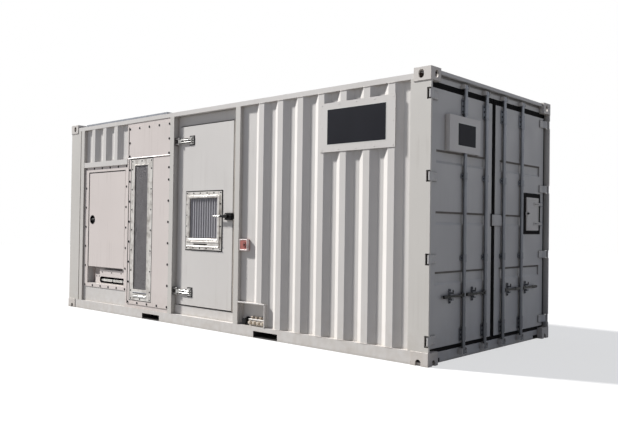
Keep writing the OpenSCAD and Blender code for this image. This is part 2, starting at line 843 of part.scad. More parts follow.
// Open-fronted box let into the foot of the corrugated wall
module connection_box() {
    t = 6;
    color("gainsboro") {
        slab([conn_x0, conn_x1], [-skin, conn_back], [conn_z1 - t, conn_z1]);
        slab([conn_x1 - t, conn_x1], [-skin, conn_back], [wall_bottom, conn_z1]);
        slab([conn_x0, conn_x1], [conn_back - t, conn_back], [wall_bottom, conn_z1]);
    }
}

module side_sign_plate() {
    color("whitesmoke")
        slab([sign_x0, sign_x0 + sign_w], [-skin - 3, -skin + 2], [sign_z0, sign_z0 + sign_h]);
}

// Two cheeks of each keeper, on the sill and on the header
module cam_keepers() {
    color("silver") for (y = rod_y) for (z = keeper_z) for (s = [-1, 1])
        let (c = y + s * (keeper_gap + keeper_t / 2))
            slab([end_face, end_face + 46], [c - keeper_t / 2, c + keeper_t / 2], z);
}

// A leaf on the -Y side: painted panel with swages, and its four hinge blades
module cargo_leaf() {
    slope = 24;
    out = leaf_face + 1;
    low = leaf_face - swage_d;
    difference() {
        slab([leaf_back, leaf_face], [-leaf_edge, -centre_half], [leaf_z0, leaf_z1]);
        for (z = swage_z) translate([0, -130, 0]) rotate([90, 0, 0])
            linear_extrude(leaf_edge - 96 - 130) polygon([
                [out, z], [leaf_face, z], [low, z - slope],
                [low, z - swage_h + slope], [leaf_face, z - swage_h], [out, z - swage_h]
            ]);
    }
    for (z = hinge_z) difference() {
        union() {
            upright(hinge_x, -hinge_y, hinge_knuckle_r, [z - blade_h / 2, z + blade_h / 2]);
            translate([0, 0, z - blade_h / 2]) linear_extrude(blade_h) polygon([
                [hinge_x - 16, -hinge_y], [hinge_x - 5, -hinge_y], [hinge_x - 5, -hinge_y + 58],
                [leaf_face + 12, -leaf_edge + 34], [leaf_face + 12, -leaf_edge + 106],
                [leaf_face - 1, -leaf_edge + 106], [leaf_face - 1, -leaf_edge + 26],
                [hinge_x - 16, -hinge_y + 52]
            ]);
        }
        upright(hinge_x, -hinge_y, hinge_pin_r + pin_gap, [z - blade_h / 2 - 1, z + blade_h / 2 + 1]);
    }
}

module cargo_door_left() {
    color("lightgray") cargo_leaf();
}

module cargo_door_right() {
    color("lightgray") difference() {
        rear() cargo_leaf();
        slab([leaf_back - 1, leaf_face + 1], [port_y0 + port_rim, port_y1 - port_rim],
             [port_z0 + port_rim, port_z1 - port_rim]);
    }
}

// Rubber ring round a leaf on the -Y side, taller between the castings
module gasket_ring() {
    color("black") difference() {
        union() {
            slab([gasket_x0, gasket_x1], [-gasket_edge, -gasket_mid], [gasket_z0, gasket_z1]);
            slab([gasket_x0, gasket_x1], [-casting_y + 7, -gasket_mid], gasket_lips_z);
        }
        slab([gasket_x0 - 1, gasket_x1 + 1], [-leaf_edge, -centre_half], [leaf_z0, leaf_z1]);
    }
}

module door_gasket_left() {
    gasket_ring();
}

module door_gasket_right() {
    rear() gasket_ring();
    color("black") difference() {
        slab([leaf_face, leaf_face + 5], [port_y0 - port_band, port_y1 + port_band],
             [port_z0 - 41, port_z1 + 47]);
        slab([leaf_face - 1, leaf_face + 6], [port_y0 - moving_gap, port_y1 + moving_gap],
             [port_z0 - moving_gap, port_z1 + moving_gap]);
    }
}

// Guide brackets of one rod
module rod_guides(y) {
    foot_x = leaf_face + 12;
    for (z = bracket_z) difference() {
        union() {
            slab([leaf_face, foot_x], [y - 46, y + 46], z);
            upright(rod_x, y, rod_r + 4.8, z);
        }
        upright(rod_x, y, rod_r + pin_gap, [z[0] - 1, z[1] + 1]);
    }
}

// Handle retainer: a plate with a lug over and under the handle
module retainer(y) {
    slab([leaf_face, leaf_face + 8], [y - 15, y + 15], [handle_z - 65, handle_z + 65]);
    for (s = [-1, 1]) slab([leaf_face + 7, leaf_face + 38], [y - 15, y + 15],
                           [handle_z + s * 29 - 9, handle_z + s * 29 + 9]);
}

module door_fittings_left() {
    color("silver") for (y = [rod_y[0], rod_y[1]]) {
        rod_guides(y);
        retainer(y - retainer_left);
    }
}

module door_fittings_right() {
    ear = [-4.75, 4.75];
    foot_y = [port_y1 + port_band + 4, port_y1 + port_band + 30];
    color("silver") {
        for (y = [rod_y[2], rod_y[3]]) {
            rod_guides(y);
            retainer(y + retainer_right);
        }
        slab([leaf_face, leaf_face + 12], [centre_half, centre_half + 21], [1225, 1335]);
        for (z = port_hinge_z) {
            upright(port_pin_x, port_pin_y, port_pin_r, [z - 25, z + 25]);
            for (s = [-1, 1]) translate([0, 0, z + s * 20.25]) {
                upright(port_pin_x, port_pin_y, port_knuckle_r, ear);
                slab([port_pin_x - 8, port_pin_x + 6], [port_pin_y, foot_y[1]], ear);
                slab([leaf_face, port_pin_x + 6], foot_y, ear);
            }
        }
    }
}

// A lock rod with its cams and its handle; side is -1 or 1, the way the handle points
module lock_rod(y, side) {
    color("silver") {
        upright(rod_x, y, rod_r, [rod_z0, rod_z1]);
        for (z = cam_z) upright(rod_x, y, cam_r, z);
        translate([0, y, 0]) mirror([0, side < 0 ? 1 : 0, 0]) {
            slab([rod_x + 2, rod_x + 14], [0, handle_l], [handle_z - 8, handle_z + 8]);
            upright(rod_x, 0, rod_r + 2, [handle_z - 30, handle_z + 30]);
        }
    }
}

module lock_rod_1() {
    lock_rod(rod_y[0], -1);
}

module lock_rod_2() {
    lock_rod(rod_y[1], -1);
}

module lock_rod_3() {
    lock_rod(rod_y[2], 1);
}

module lock_rod_4() {
    lock_rod(rod_y[3], 1);
}

// Sign box over the outer rod of the left leaf, open at top and bottom for the rod
module door_sign_box() {
    y0 = -leaf_edge + 243;
    y1 = y0 + 553;
    z = [leaf_z1 - 540, leaf_z1 - 210];
    t = 4;
    color("gainsboro") {
        slab([hx - 1 - t, hx - 1], [y0, y1], z);
        slab([leaf_face, hx - 1], [y0, y0 + t], z);
        slab([leaf_face, hx - 1], [y1 - t, y1], z);
    }
}

module inspection_hatch() {
    plate = [leaf_face + 2, leaf_face + 12];
    color("lightgray") {
        slab(plate, [port_y0, port_y1], [port_z0, port_z1]);
        for (z = port_hinge_z) difference() {
            union() {
                upright(port_pin_x, port_pin_y, port_knuckle_r, [z - 15, z + 15]);
                slab([plate[1] - 1, port_pin_x], [port_y1 - 120, port_pin_y], [z - 15, z + 15]);
            }
            upright(port_pin_x, port_pin_y, port_pin_r + pin_gap, [z - 16, z + 16]);
        }
        slab([plate[1] - 1, plate[1] + 10], [port_y0 - 26, port_y0 + 40], [port_z0 + 161, port_z0 + 197]);
    }
}

bottom_castings();
top_castings();
corner_posts();
side_posts();
bottom_side_rails();
top_side_rails();
end_rails();
underframe();
floor_deck();
roof_panel();
roof_curb();
roof_grille();
front_corrugated_wall();
upper_panels();
hatch_wall();
bolted_frames();
service_recess();
fill_box();
hatch_leaf();
intake_walls();
intake_grille_frames();
intake_grilles();
door_frames();
door_fixings();
personnel_door();
door_hinge_straps();
door_vent_frame();
door_vent_filter();
door_latch_body();
door_lever();
estop();
connection_box();
side_sign_plate();
rear_corrugated_wall();
rear_service_wall();
rear_door();
far_end_wall();
cam_keepers();
cargo_door_left();
cargo_door_right();
door_gasket_left();
door_gasket_right();
door_fittings_left();
door_fittings_right();
lock_rod_1();
lock_rod_2();
lock_rod_3();
lock_rod_4();
door_sign_box();
inspection_hatch();
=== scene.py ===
"""Finishes, fixings and fittings of a containerised diesel generating set, round its steel construction.

Sizes are in millimetres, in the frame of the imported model: +X towards the cargo doors, -Y the side with the
personnel door, +Z up. They become Blender's metres when a point is added to a piece's mesh.
"""

import json
import logging
import math
from abc import ABC, abstractmethod
from dataclasses import dataclass, field
from enum import Enum

import bmesh
import bpy
from mathutils import Matrix, Vector


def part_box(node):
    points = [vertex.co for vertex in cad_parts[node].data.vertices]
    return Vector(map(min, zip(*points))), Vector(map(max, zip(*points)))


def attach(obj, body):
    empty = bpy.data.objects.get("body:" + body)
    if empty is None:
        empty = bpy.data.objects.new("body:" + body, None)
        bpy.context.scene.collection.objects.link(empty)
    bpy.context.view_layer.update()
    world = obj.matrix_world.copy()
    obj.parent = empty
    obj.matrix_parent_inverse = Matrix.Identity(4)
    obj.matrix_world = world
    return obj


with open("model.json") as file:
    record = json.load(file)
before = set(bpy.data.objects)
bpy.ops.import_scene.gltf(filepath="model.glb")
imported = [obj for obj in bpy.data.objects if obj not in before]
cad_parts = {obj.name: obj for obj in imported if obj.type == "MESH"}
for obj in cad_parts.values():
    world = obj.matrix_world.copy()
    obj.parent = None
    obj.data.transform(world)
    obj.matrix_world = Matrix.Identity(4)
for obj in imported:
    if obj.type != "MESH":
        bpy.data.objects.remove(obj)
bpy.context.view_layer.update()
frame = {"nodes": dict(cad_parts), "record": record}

LOG = logging.getLogger("enclosure")
MM = 0.001
ROOT = "enclosure"
# How far apart the ripples of a weld are.
RIPPLE = 14.0
# Edges that turn less than this many degrees look round.
ROUND_BELOW = 34.0
# A direction that no bar or wire runs in, from which its section is turned.
ODD_WAY = (0.31, 0.52, 0.79)
PURE_WHITE = (1.0, 1.0, 1.0, 1.0)

Span = tuple[float, float]
Outline = list[tuple[float, float]]
Place = tuple[float, float, float]
Piece = bpy.types.Object
Tree = bpy.types.NodeTree
Node = bpy.types.Node
Socket = bpy.types.NodeSocket


# ---------------- where things are


class Side(Enum):
    """A face that fittings sit on, as the directions of its along, up and out measures."""

    FRONT = ((1, 0, 0), (0, 0, 1), (0, -1, 0))
    REAR = ((1, 0, 0), (0, 0, 1), (0, 1, 0))
    DOORS = ((0, 1, 0), (0, 0, 1), (1, 0, 0))
    FAR = ((0, 1, 0), (0, 0, 1), (-1, 0, 0))
    ROOF = ((1, 0, 0), (0, 1, 0), (0, 0, 1))

    def point(self, along: float, up: float, out: float) -> Vector:
        """Turns measures on this face into a place on the enclosure."""
        run, rise, face = (Vector(axis) for axis in self.value)
        return run * along + rise * up + face * out

    def measures(self, corner: Vector) -> Place:
        """Turns a place on the enclosure into measures on this face."""
        return tuple(corner.dot(Vector(axis)) for axis in self.value)


class Way(Enum):
    """Which measure of a face a turned piece stands along."""

    ALONG = 0
    UP = 1
    OUT = 2


@dataclass(frozen=True)
class Block:
    """The box of a piece of steelwork, measured on one face."""

    along: Span
    up: Span
    out: Span

    @property
    def face(self) -> float:
        """How far out its outer face lies."""
        return self.out[1]

    def proud(self, thick: float) -> Span:
        """From its outer face to as far outside it."""
        return self.face, self.face + thick

    @property
    def middle(self) -> tuple[float, float]:
        """Middle of its outer face."""
        return sum(self.along) / 2, sum(self.up) / 2


def block(side: Side, corners: list[Vector]) -> Block:
    """Box of some points, measured on one face.

    Args:
        side: the face.
        corners: places on the enclosure, in millimetres.

    Returns:
        Their box.
    """
    measures = list(zip(*(side.measures(corner) for corner in corners)))
    return Block(*((min(m), max(m)) for m in measures))


def whole(side: Side, node: str) -> Block:
    """Box of all of a node, measured on one face."""
    return block(side, [Vector(corner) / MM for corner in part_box(node)])


def solids(side: Side, node: str) -> list[Block]:
    """Boxes of the separate solids of a node.

    Args:
        side: the face that they are measured on.
        node: the node's name.

    Returns:
        One box for each solid, in order along the face and then up it.
    """
    mesh = frame["nodes"][node].data
    keys = [tuple(round(c / MM, 2) for c in v.co) for v in mesh.vertices]
    root = {key: key for key in keys}

    def first(key: Place) -> Place:
        """Follows the links to the point that stands for a solid.

        Args:
            key: any point of the solid.

        Returns:
            The point that stands for it.
        """
        while root[key] != key:
            root[key] = root[root[key]]
            key = root[key]
        return key

    for polygon in mesh.polygons:
        start = first(keys[polygon.vertices[0]])
        for index in polygon.vertices[1:]:
            root[first(keys[index])] = start
    groups: dict[Place, list[Vector]] = {}
    for key in root:
        groups.setdefault(first(key), []).append(Vector(key))
    boxes = [block(side, points) for points in groups.values()]
    return sorted(boxes, key=lambda b: (round(b.along[0]), round(b.up[0])))


def facing(side: Side, node: str) -> list[Block]:
    """The solids of a node that lie on one face's own half of the enclosure."""
    return [b for b in solids(side, node) if sum(b.out) > 0]


def spread(span: Span, count: int) -> list[float]:
    """Even places from one end of a span to the other."""
    return [span[0] + (span[1] - span[0]) * i / (count - 1) for i in range(count)]


def inner(span: Span, inset: float, far: float | None = None) -> Span:
    """The span with both ends moved in, the high one by its own amount where that is given."""
    return span[0] + inset, span[1] - (inset if far is None else far)


def about(middle: float, half: float) -> Span:
    """The span that reaches equally far each way from a middle."""
    return middle - half, middle + half


def ring_places(along: Span, up: Span, columns: int, rows: int) -> Outline:
    """Places of fixings round a rectangle, each once.

    Args:
        along: its left and right edge.
        up: its lower and upper edge.
        columns: fixings in a row, corners counted.
        rows: fixings in a column, corners counted.

    Returns:
        The places.
    """
    level = [(a, u) for a in spread(along, columns) for u in up]
    upright = [(a, u) for u in spread(up, rows)[1:-1] for a in along]
    return level + upright


# ---------------- outlines


def circle(radius: float, sides: int, middle: tuple[float, float] = (0.0, 0.0)) -> Outline:
    """Outline of a round part, anticlockwise."""
    turns = [2 * math.pi * (i + 0.5) / sides for i in range(sides)]
    return [(middle[0] + radius * math.cos(t), middle[1] + radius * math.sin(t)) for t in turns]


def oblong(along: Span, up: Span, corner: float = 0.0) -> Outline:
    """Outline of a plate, anticlockwise, with round corners where a radius is given.

    Args:
        along: its left and right edge.
        up: its lower and upper edge.
        corner: radius of its corners.

    Returns:
        Its points: 4 with square corners, 16 with round ones.
    """
    if corner <= 0:
        return [(along[0], up[0]), (along[1], up[0]), (along[1], up[1]), (along[0], up[1])]
    left, right = inner(along, corner)
    low, high = inner(up, corner)
    middles = [(right, low, 270), (right, high, 0), (left, high, 90), (left, low, 180)]
    turns = [(a, u, math.radians(start + step)) for a, u, start in middles for step in (0, 30, 60, 90)]
    return [(a + corner * math.cos(t), u + corner * math.sin(t)) for a, u, t in turns]


def shrunk(outline: Outline, inset: float) -> Outline:
    """The outline with each edge moved in.

    Args:
        outline: points, anticlockwise.
        inset: how far the edges move in, or out where it is less than 0.

    Returns:
        As many points.
    """
    moved: Outline = []
    for before, here, after in zip(outline[-1:] + outline, outline, outline[1:] + outline[:1]):
        one = Vector((here[0] - before[0], here[1] - before[1])).normalized()
        two = Vector((after[0] - here[0], after[1] - here[1])).normalized()
        inward = Vector((-one.y - two.y, one.x + two.x)).normalized()
        reach = inset / max(0.4, inward.dot(Vector((-one.y, one.x))))
        moved.append((here[0] + inward.x * reach, here[1] + inward.y * reach))
    return moved


# ---------------- finishes


def linear(colour: str) -> tuple[float, float, float, float]:
    """Turns an sRGB hex colour into the linear colour that shaders take."""
    parts = [int(colour[i:i + 2], 16) / 255 for i in (1, 3, 5)]
    return (*(c / 12.92 if c <= 0.04045 else ((c + 0.055) / 1.055) ** 2.4 for c in parts), 1.0)


def per_metre(*sizes: float) -> tuple[float, ...]:
    """Scale at which a pattern one unit wide becomes each of these sizes in millimetres."""
    return tuple(1 / (size * MM) for size in sizes)


def add(tree: Tree, kind: str, inputs: dict | None = None, **settings: object) -> Node:
    """Adds a node with its settings, values and links.

    Args:
        tree: the node tree.
        kind: the node's type, without its common prefix.
        inputs: for each socket, by name or number, a value, a node or a node's output.
        settings: the node's own properties.

    Returns:
        The new node.
    """
    made = tree.nodes.new("ShaderNode" + kind)
    for key, value in settings.items():
        setattr(made, key, value)
    for key, value in (inputs or {}).items():
        named = [s for s in made.inputs if s.enabled and s.name == key]
        socket = named[0] if named else made.inputs[key]
        if isinstance(value, Node):
            value = next(s for s in value.outputs if s.enabled)
        if isinstance(value, Socket):
            tree.links.new(value, socket)
        else:
            socket.default_value = value
    return made


def feed(shader: Node, colour: Node, gloss: Node, relief: Node) -> None:
    """Links a finish to the shader that shows.

    Args:
        shader: the shader.
        colour: the mix that ends in the colour.
        gloss: the range that ends in the roughness.
        relief: the bump that ends in the surface's tilt.
    """
    ends = {"Base Color": colour.outputs[2], "Roughness": gloss.outputs[0], "Normal": relief.outputs[0]}
    for name, source in ends.items():
        shader.id_data.links.new(source, shader.inputs[name])


@dataclass(frozen=True)
class Finish(ABC):
    """What a surface is made of and how it is drawn."""

    name: str
    slot: str | None
    colour: str
    roughness: float

    def material(self) -> bpy.types.Material:
        """The material of this finish, made once.

        Returns:
            The Blender material.
        """
        known = bpy.data.materials.get(self.name)
        if known:
            return known
        made = bpy.data.materials.new(self.name)
        made.use_nodes = True
        made.node_tree.nodes.clear()
        made.diffuse_color = linear(self.colour)
        shader = add(made.node_tree, "BsdfPrincipled", {"Roughness": self.roughness})
        place = add(made.node_tree, "TexCoord").outputs["Object"]
        self.draw(made.node_tree, shader, place)
        add(made.node_tree, "OutputMaterial", {"Surface": shader})
        return made

    @abstractmethod
    def draw(self, tree: Tree, shader: Node, place: Socket) -> None:
        """Adds this finish's own nodes.

        Args:
            tree: the material's node tree.
            shader: the shader that shows.
            place: where a point lies on the steelwork, in metres.
        """


@dataclass(frozen=True)
class Enamel(Finish):
    """Two-pack enamel sprayed on folded steel sheet. The eye gets an even half-gloss skin over sheet that is
    never quite flat, with rain streaks, dust that settles low, painted shade in corners and chips on outer
    edges."""

    # Grime colour, also used for the painted shade in corners.
    grime_and_shade: str = "#8C8278"
    dust: str = "#A39583"
    chip: str = "#66544A"
    streaks: float = 0.14
    # How far corners are darkened as painted shade.
    corners: float = 0.6
    chips: float = 0.5
    dust_top: float = 430.0
    wave: float = 1.1
    peel: float = 0.06

    def draw(self, tree: Tree, shader: Node, place: Socket) -> None:
        """Colour with its dirt, then gloss and relief.

        Args:
            tree: the material's node tree.
            shader: the shader that shows.
            place: where a point lies, in metres.
        """
        colour = self.weather(tree, place)
        colour = self.settle(tree, place, colour)
        colour = self.wear(tree, place, colour)
        patch = add(tree, "TexNoise", {"Vector": place, "Scale": per_metre(240)[0], "Detail": 2.0})
        gloss = add(tree, "MapRange", {"Value": patch, "From Min": 0.3, "From Max": 0.7,
                                       "To Min": self.roughness, "To Max": self.roughness + 0.14})
        sheet = add(tree, "TexNoise", {"Vector": place, "Scale": per_metre(560)[0], "Detail": 1.0})
        bent = add(tree, "Bump", {"Height": sheet, "Distance": self.wave * MM})
        # Real orange peel is about 2 mm wide. It is drawn 6 mm wide, so that it shows.
        spray = add(tree, "TexNoise", {"Vector": place, "Scale": per_metre(6)[0], "Detail": 1.0})
        skin = add(tree, "Bump", {"Height": spray, "Distance": self.peel * MM, "Normal": bent})
        feed(shader, colour, gloss, skin)

    def weather(self, tree: Tree, place: Socket) -> Node:
        """Faded clouds and the streaks that rain leaves.

        Args:
            tree: the material's node tree.
            place: where a point lies, in metres.

        Returns:
            The node with the colour.
        """
        cloud = add(tree, "TexNoise", {"Vector": place, "Scale": per_metre(1300)[0], "Detail": 3.0})
        faded = add(tree, "MapRange", {"Value": cloud, "From Min": 0.35, "From Max": 0.7, "To Max": 0.1})
        base = add(tree, "Mix", {"Factor": faded, "A": linear(self.colour), "B": linear(self.grime_and_shade)},
                   data_type="RGBA")
        drawn = add(tree, "Mapping", {"Vector": place, "Scale": per_metre(34, 34, 1500)})
        lines = add(tree, "TexNoise", {"Vector": drawn, "Scale": 1.0, "Detail": 3.0})
        rain = add(tree, "MapRange", {"Value": lines, "From Min": 0.52, "From Max": 0.76})
        area = add(tree, "TexNoise", {"Vector": place, "Scale": per_metre(420)[0], "Detail": 2.0})
        wet = add(tree, "MapRange",
                  {"Value": area, "From Min": 0.46, "From Max": 0.66, "To Max": self.streaks})
        share = add(tree, "Math", {0: rain, 1: wet}, operation="MULTIPLY")
        return add(tree, "Mix", {"Factor": share, "A": base, "B": linear(self.grime_and_shade)}, data_type="RGBA")

    def settle(self, tree: Tree, place: Socket, colour: Node) -> Node:
        """Road dust on the lowest part, and painted shade in the corners.

        Args:
            tree: the material's node tree.
            place: where a point lies, in metres.
            colour: the node with the colour so far.

        Returns:
            The node with the new colour.
        """
        height = add(tree, "SeparateXYZ", {0: place})
        low = add(tree, "MapRange", {"Value": height.outputs["Z"], "From Min": self.dust_top * MM,
                                     "From Max": 0.0, "To Max": 0.34})
        flecks = add(tree, "TexNoise", {"Vector": place, "Scale": per_metre(80)[0], "Detail": 5.0})
        thick = add(tree, "MapRange", {"Value": flecks, "From Min": 0.35, "From Max": 0.75})
        share = add(tree, "Math", {0: low, 1: thick}, operation="MULTIPLY")
        dusty = add(tree, "Mix", {"Factor": share, "A": colour, "B": linear(self.dust)}, data_type="RGBA")
        # Painted shade: where little open sky is seen within 34 mm, the colour darkens towards the grime
        # colour.
        open_sky = add(tree, "AmbientOcclusion", {"Distance": 34 * MM}, samples=6).outputs["AO"]
        corner = add(tree, "MapRange",
                     {"Value": open_sky, "From Min": 0.92, "From Max": 0.3, "To Max": self.corners})
        return add(tree, "Mix", {"Factor": corner, "A": dusty, "B": linear(self.grime_and_shade)}, data_type="RGBA")

    def wear(self, tree: Tree, place: Socket, colour: Node) -> Node:
        """Chips where an outer edge gets knocked.

        Args:
            tree: the material's node tree.
            place: where a point lies, in metres.
            colour: the node with the colour so far.

        Returns:
            The node with the new colour.
        """
        rounded = add(tree, "Bevel", {"Radius": 6 * MM}, samples=4)
        flat = add(tree, "NewGeometry").outputs["Normal"]
        agree = add(tree, "VectorMath", {0: rounded, 1: flat}, operation="DOT_PRODUCT").outputs["Value"]
        edge = add(tree, "MapRange",
                   {"Value": agree, "From Min": 0.97, "From Max": 0.8, "To Max": self.chips})
        flakes = add(tree, "TexNoise", {"Vector": place, "Scale": per_metre(30)[0], "Detail": 6.0})
        lost = add(tree, "MapRange", {"Value": flakes, "From Min": 0.57, "From Max": 0.6})
        share = add(tree, "Math", {0: edge, 1: lost}, operation="MULTIPLY")
        return add(tree, "Mix", {"Factor": share, "A": colour, "B": linear(self.chip)}, data_type="RGBA")


@dataclass(frozen=True)
class Coating(Finish):
    """Rubber, dull coating, vinyl film, moulded plastic, or a dark film of painted shade. The eye gets one
    colour with faint clouds, and a fine grain in the shine."""

    shade: str
    cloud: float = 120.0
    grain: float = 4.0
    depth: float = 0.1
    shine: float = 0.5

    def draw(self, tree: Tree, shader: Node, place: Socket) -> None:
        """Clouded colour with a fine grain in its relief.

        Args:
            tree: the material's node tree.
            shader: the shader that shows.
            place: where a point lies, in metres.
        """
        shader.inputs["Specular IOR Level"].default_value = self.shine
        clouds = add(tree, "TexNoise", {"Vector": place, "Scale": per_metre(self.cloud)[0], "Detail": 4.0})
        share = add(tree, "MapRange", {"Value": clouds, "From Min": 0.35, "From Max": 0.7, "To Max": 0.4})
        clouded = add(tree, "Mix", {"Factor": share, "A": linear(self.colour), "B": linear(self.shade)},
                      data_type="RGBA")
        dull = add(tree, "MapRange",
                   {"Value": clouds, "To Min": self.roughness - 0.05, "To Max": self.roughness + 0.12})
        fine = add(tree, "TexNoise", {"Vector": place, "Scale": per_metre(self.grain)[0], "Detail": 2.0})
        relief = add(tree, "Bump", {"Height": fine, "Distance": self.depth * MM})
        feed(shader, clouded, dull, relief)


@dataclass(frozen=True)
class Zinc(Finish):
    """Hot-dip galvanised steel. The eye gets dull blue-grey zinc in crystals about a thumb wide, with darker
    runs where water has stood, and a painted reflection that darkens it towards the bottom."""

    bloom: str = "#A3ABB2"
    stain: str = "#3E4044"
    spangle: float = 14.0
    dark_reflection_top: float = 2200.0

    def draw(self, tree: Tree, shader: Node, place: Socket) -> None:
        """Zinc crystals and stains on metal, darker towards the bottom as painted reflection.

        Args:
            tree: the material's node tree.
            shader: the shader that shows.
            place: where a point lies, in metres.
        """
        shader.inputs["Metallic"].default_value = 0.75
        cells = add(tree, "TexVoronoi", {"Vector": place, "Scale": per_metre(self.spangle)[0]})
        tint = add(tree, "SeparateXYZ", {0: cells.outputs["Color"]})
        share = add(tree, "MapRange", {"Value": tint, "To Max": 0.4})
        zinc = add(tree, "Mix", {"Factor": share, "A": linear(self.colour), "B": linear(self.bloom)},
                   data_type="RGBA")
        drawn = add(tree, "Mapping", {"Vector": place, "Scale": per_metre(40, 40, 260)})
        runs = add(tree, "TexNoise", {"Vector": drawn, "Scale": 1.0, "Detail": 4.0})
        wet = add(tree, "MapRange", {"Value": runs, "From Min": 0.5, "From Max": 0.75, "To Max": 0.45})
        stained = add(tree, "Mix", {"Factor": wet, "A": zinc, "B": linear(self.stain)}, data_type="RGBA")
        # Painted reflection: darker towards the bottom, as if mirroring the dark ground and leaves.
        height = add(tree, "SeparateXYZ", {0: place})
        spray = add(tree, "MapRange", {"Value": height.outputs["Z"], "From Min": self.dark_reflection_top * MM,
                                       "From Max": 0.0, "To Max": 0.75})
        colour = add(tree, "Mix", {"Factor": spray, "A": stained, "B": linear(self.stain)}, data_type="RGBA")
        dull = add(tree, "MapRange",
                   {"Value": tint, "To Min": self.roughness, "To Max": self.roughness + 0.16})
        drips = add(tree, "TexNoise", {"Vector": place, "Scale": per_metre(7)[0], "Detail": 2.0})
        relief = add(tree, "Bump", {"Height": drips, "Distance": 0.08 * MM})
        feed(shader, colour, dull, relief)


@dataclass(frozen=True)
class DrawnMetal(Finish):
    """Rolled, brushed or turned metal. The eye gets a bright surface with fine lines one way that spread its
    shine, and smears where hands and weather have been."""

    smear: str
    line: Place = (90.0, 90.0, 1.8)
    smeared: float = 0.4

    def draw(self, tree: Tree, shader: Node, place: Socket) -> None:
        """Fine lines and smears on metal.

        Args:
            tree: the material's node tree.
            shader: the shader that shows.
            place: where a point lies, in metres.
        """
        shader.inputs["Metallic"].default_value = 1.0
        hands = add(tree, "TexNoise", {"Vector": place, "Scale": per_metre(70)[0], "Detail": 4.0})
        share = add(tree, "MapRange",
                    {"Value": hands, "From Min": 0.45, "From Max": 0.75, "To Max": self.smeared})
        colour = add(tree, "Mix", {"Factor": share, "A": linear(self.colour), "B": linear(self.smear)},
                     data_type="RGBA")
        # Real brush lines lie a tenth of a millimetre apart. They are drawn 1.8 mm apart, so that they show.
        drawn = add(tree, "Mapping", {"Vector": place, "Scale": per_metre(*self.line)})
        lines = add(tree, "TexNoise", {"Vector": drawn, "Scale": 1.0, "Detail": 2.0})
        dull = add(tree, "MapRange", {"Value": lines, "From Min": 0.3, "From Max": 0.7,
                                      "To Min": self.roughness, "To Max": self.roughness + 0.14})
        relief = add(tree, "Bump", {"Height": lines, "Distance": 0.03 * MM})
        feed(shader, colour, dull, relief)


@dataclass(frozen=True)
class FilterPad(Finish):
    """Filter of knitted wire or of cloth. The eye gets a stringy grey cloud of strands over darker gaps, with
    painted glints.
    """

    gap: str = "#33373D"
    painted_glint: str = "#B4B9BF"
    strand: Place = (6.0, 6.0, 30.0)
    relief: float = 0.8

    def draw(self, tree: Tree, shader: Node, place: Socket) -> None:
        """Strands over dark gaps, with painted glints.

        Args:
            tree: the material's node tree.
            shader: the shader that shows.
            place: where a point lies, in metres.
        """
        drawn = add(tree, "Mapping", {"Vector": place, "Scale": per_metre(*self.strand)})
        strands = add(tree, "TexNoise", {"Vector": drawn, "Scale": 1.0, "Detail": 3.0})
        gaps = add(tree, "MapRange", {"Value": strands, "From Min": 0.56, "From Max": 0.4, "To Max": 0.5})
        wire = add(tree, "Mix", {"Factor": gaps, "A": linear(self.colour), "B": linear(self.gap)},
                   data_type="RGBA")
        # Painted highlight: noise clouds lighten it towards the glint colour.
        cloud = add(tree, "TexNoise", {"Vector": place, "Scale": per_metre(45)[0], "Detail": 4.0})
        bright = add(tree, "MapRange", {"Value": cloud, "From Min": 0.54, "From Max": 0.75, "To Max": 0.4})
        colour = add(tree, "Mix", {"Factor": bright, "A": wire, "B": linear(self.painted_glint)}, data_type="RGBA")
        dull = add(tree, "MapRange",
                   {"Value": strands, "To Min": self.roughness, "To Max": self.roughness + 0.3})
        relief = add(tree, "Bump", {"Height": strands, "Distance": self.relief * MM})
        feed(shader, colour, dull, relief)


# Cool white gloss on frames, walls and doors: it shows rain streaks, and painted shade in its corners.
WHITE = Enamel("white_enamel", "enclosure_paint", "#D4D1CE", 0.42)
# Posts stand in the wash of the road, so their white is greyer and more streaked than the sheets beside them.
POST_WHITE = Enamel("road_worn_white_enamel", "enclosure_paint", "#CBC8C3", 0.46, streaks=0.24)
# The flat panels were sprayed in a warmer white, and their large sheets bend reflections more.
WARM_WHITE = Enamel("warm_white_enamel", "panel_paint", "#DBD2CE", 0.40, streaks=0.2, wave=1.5)
# The doors and end rails: the white greyed as painted shade, with strong painted shade in the pressed lines
# that reads as dark strokes.
SHADE_GREYED_WHITE = Enamel("white_enamel_on_pressed_doors", "enclosure_paint", "#C5C4C3", 0.44, grime_and_shade="#67625E",
                    streaks=0.1, corners=0.95)
# Paint over sand-cast steel: pebbled, chipped on every edge and stained.
CAST_WHITE = Enamel("white_enamel_on_cast_steel", "enclosure_paint", "#CFCAC5", 0.5, streaks=0.4, chips=0.9,
                    wave=0.3, peel=0.4)
# Soft black-brown coat under the floor, dusty, with hardly any shine.
UNDERBODY = Coating("bitumen_underbody_coating", "underframe_paint", "#2B2A2B", 0.62, "#4A433B")
# Plain grey paint that feet have worn dull.
FLOOR = Enamel("grey_floor_paint", "floor_paint", "#7C7E80", 0.5, grime_and_shade="#4C4A47", dust_top=0.1)
# Dull zinc on rods and hinges, in patches that catch the light one by one, with painted reflection darkening
# it low down.
GALVANISED = Zinc("hot_dip_galvanised_steel", "galvanised_steel", "#787B82", 0.46, bloom="#93979E")
# The brightest metal by the hinges and bars: long soft highlights between hand marks.
STAINLESS = DrawnMetal("brushed_stainless_steel", "stainless_steel", "#B3B2B0", 0.28, "#6E6C69")
# Hinge halves by the post: stainless greyed as painted shade of the post, dull and smeared.
SHADE_DARKENED_STEEL = DrawnMetal("weathered_stainless_steel", "stainless_steel", "#7E7C7B", 0.42, "#3F3D3C",
                             smeared=0.6)
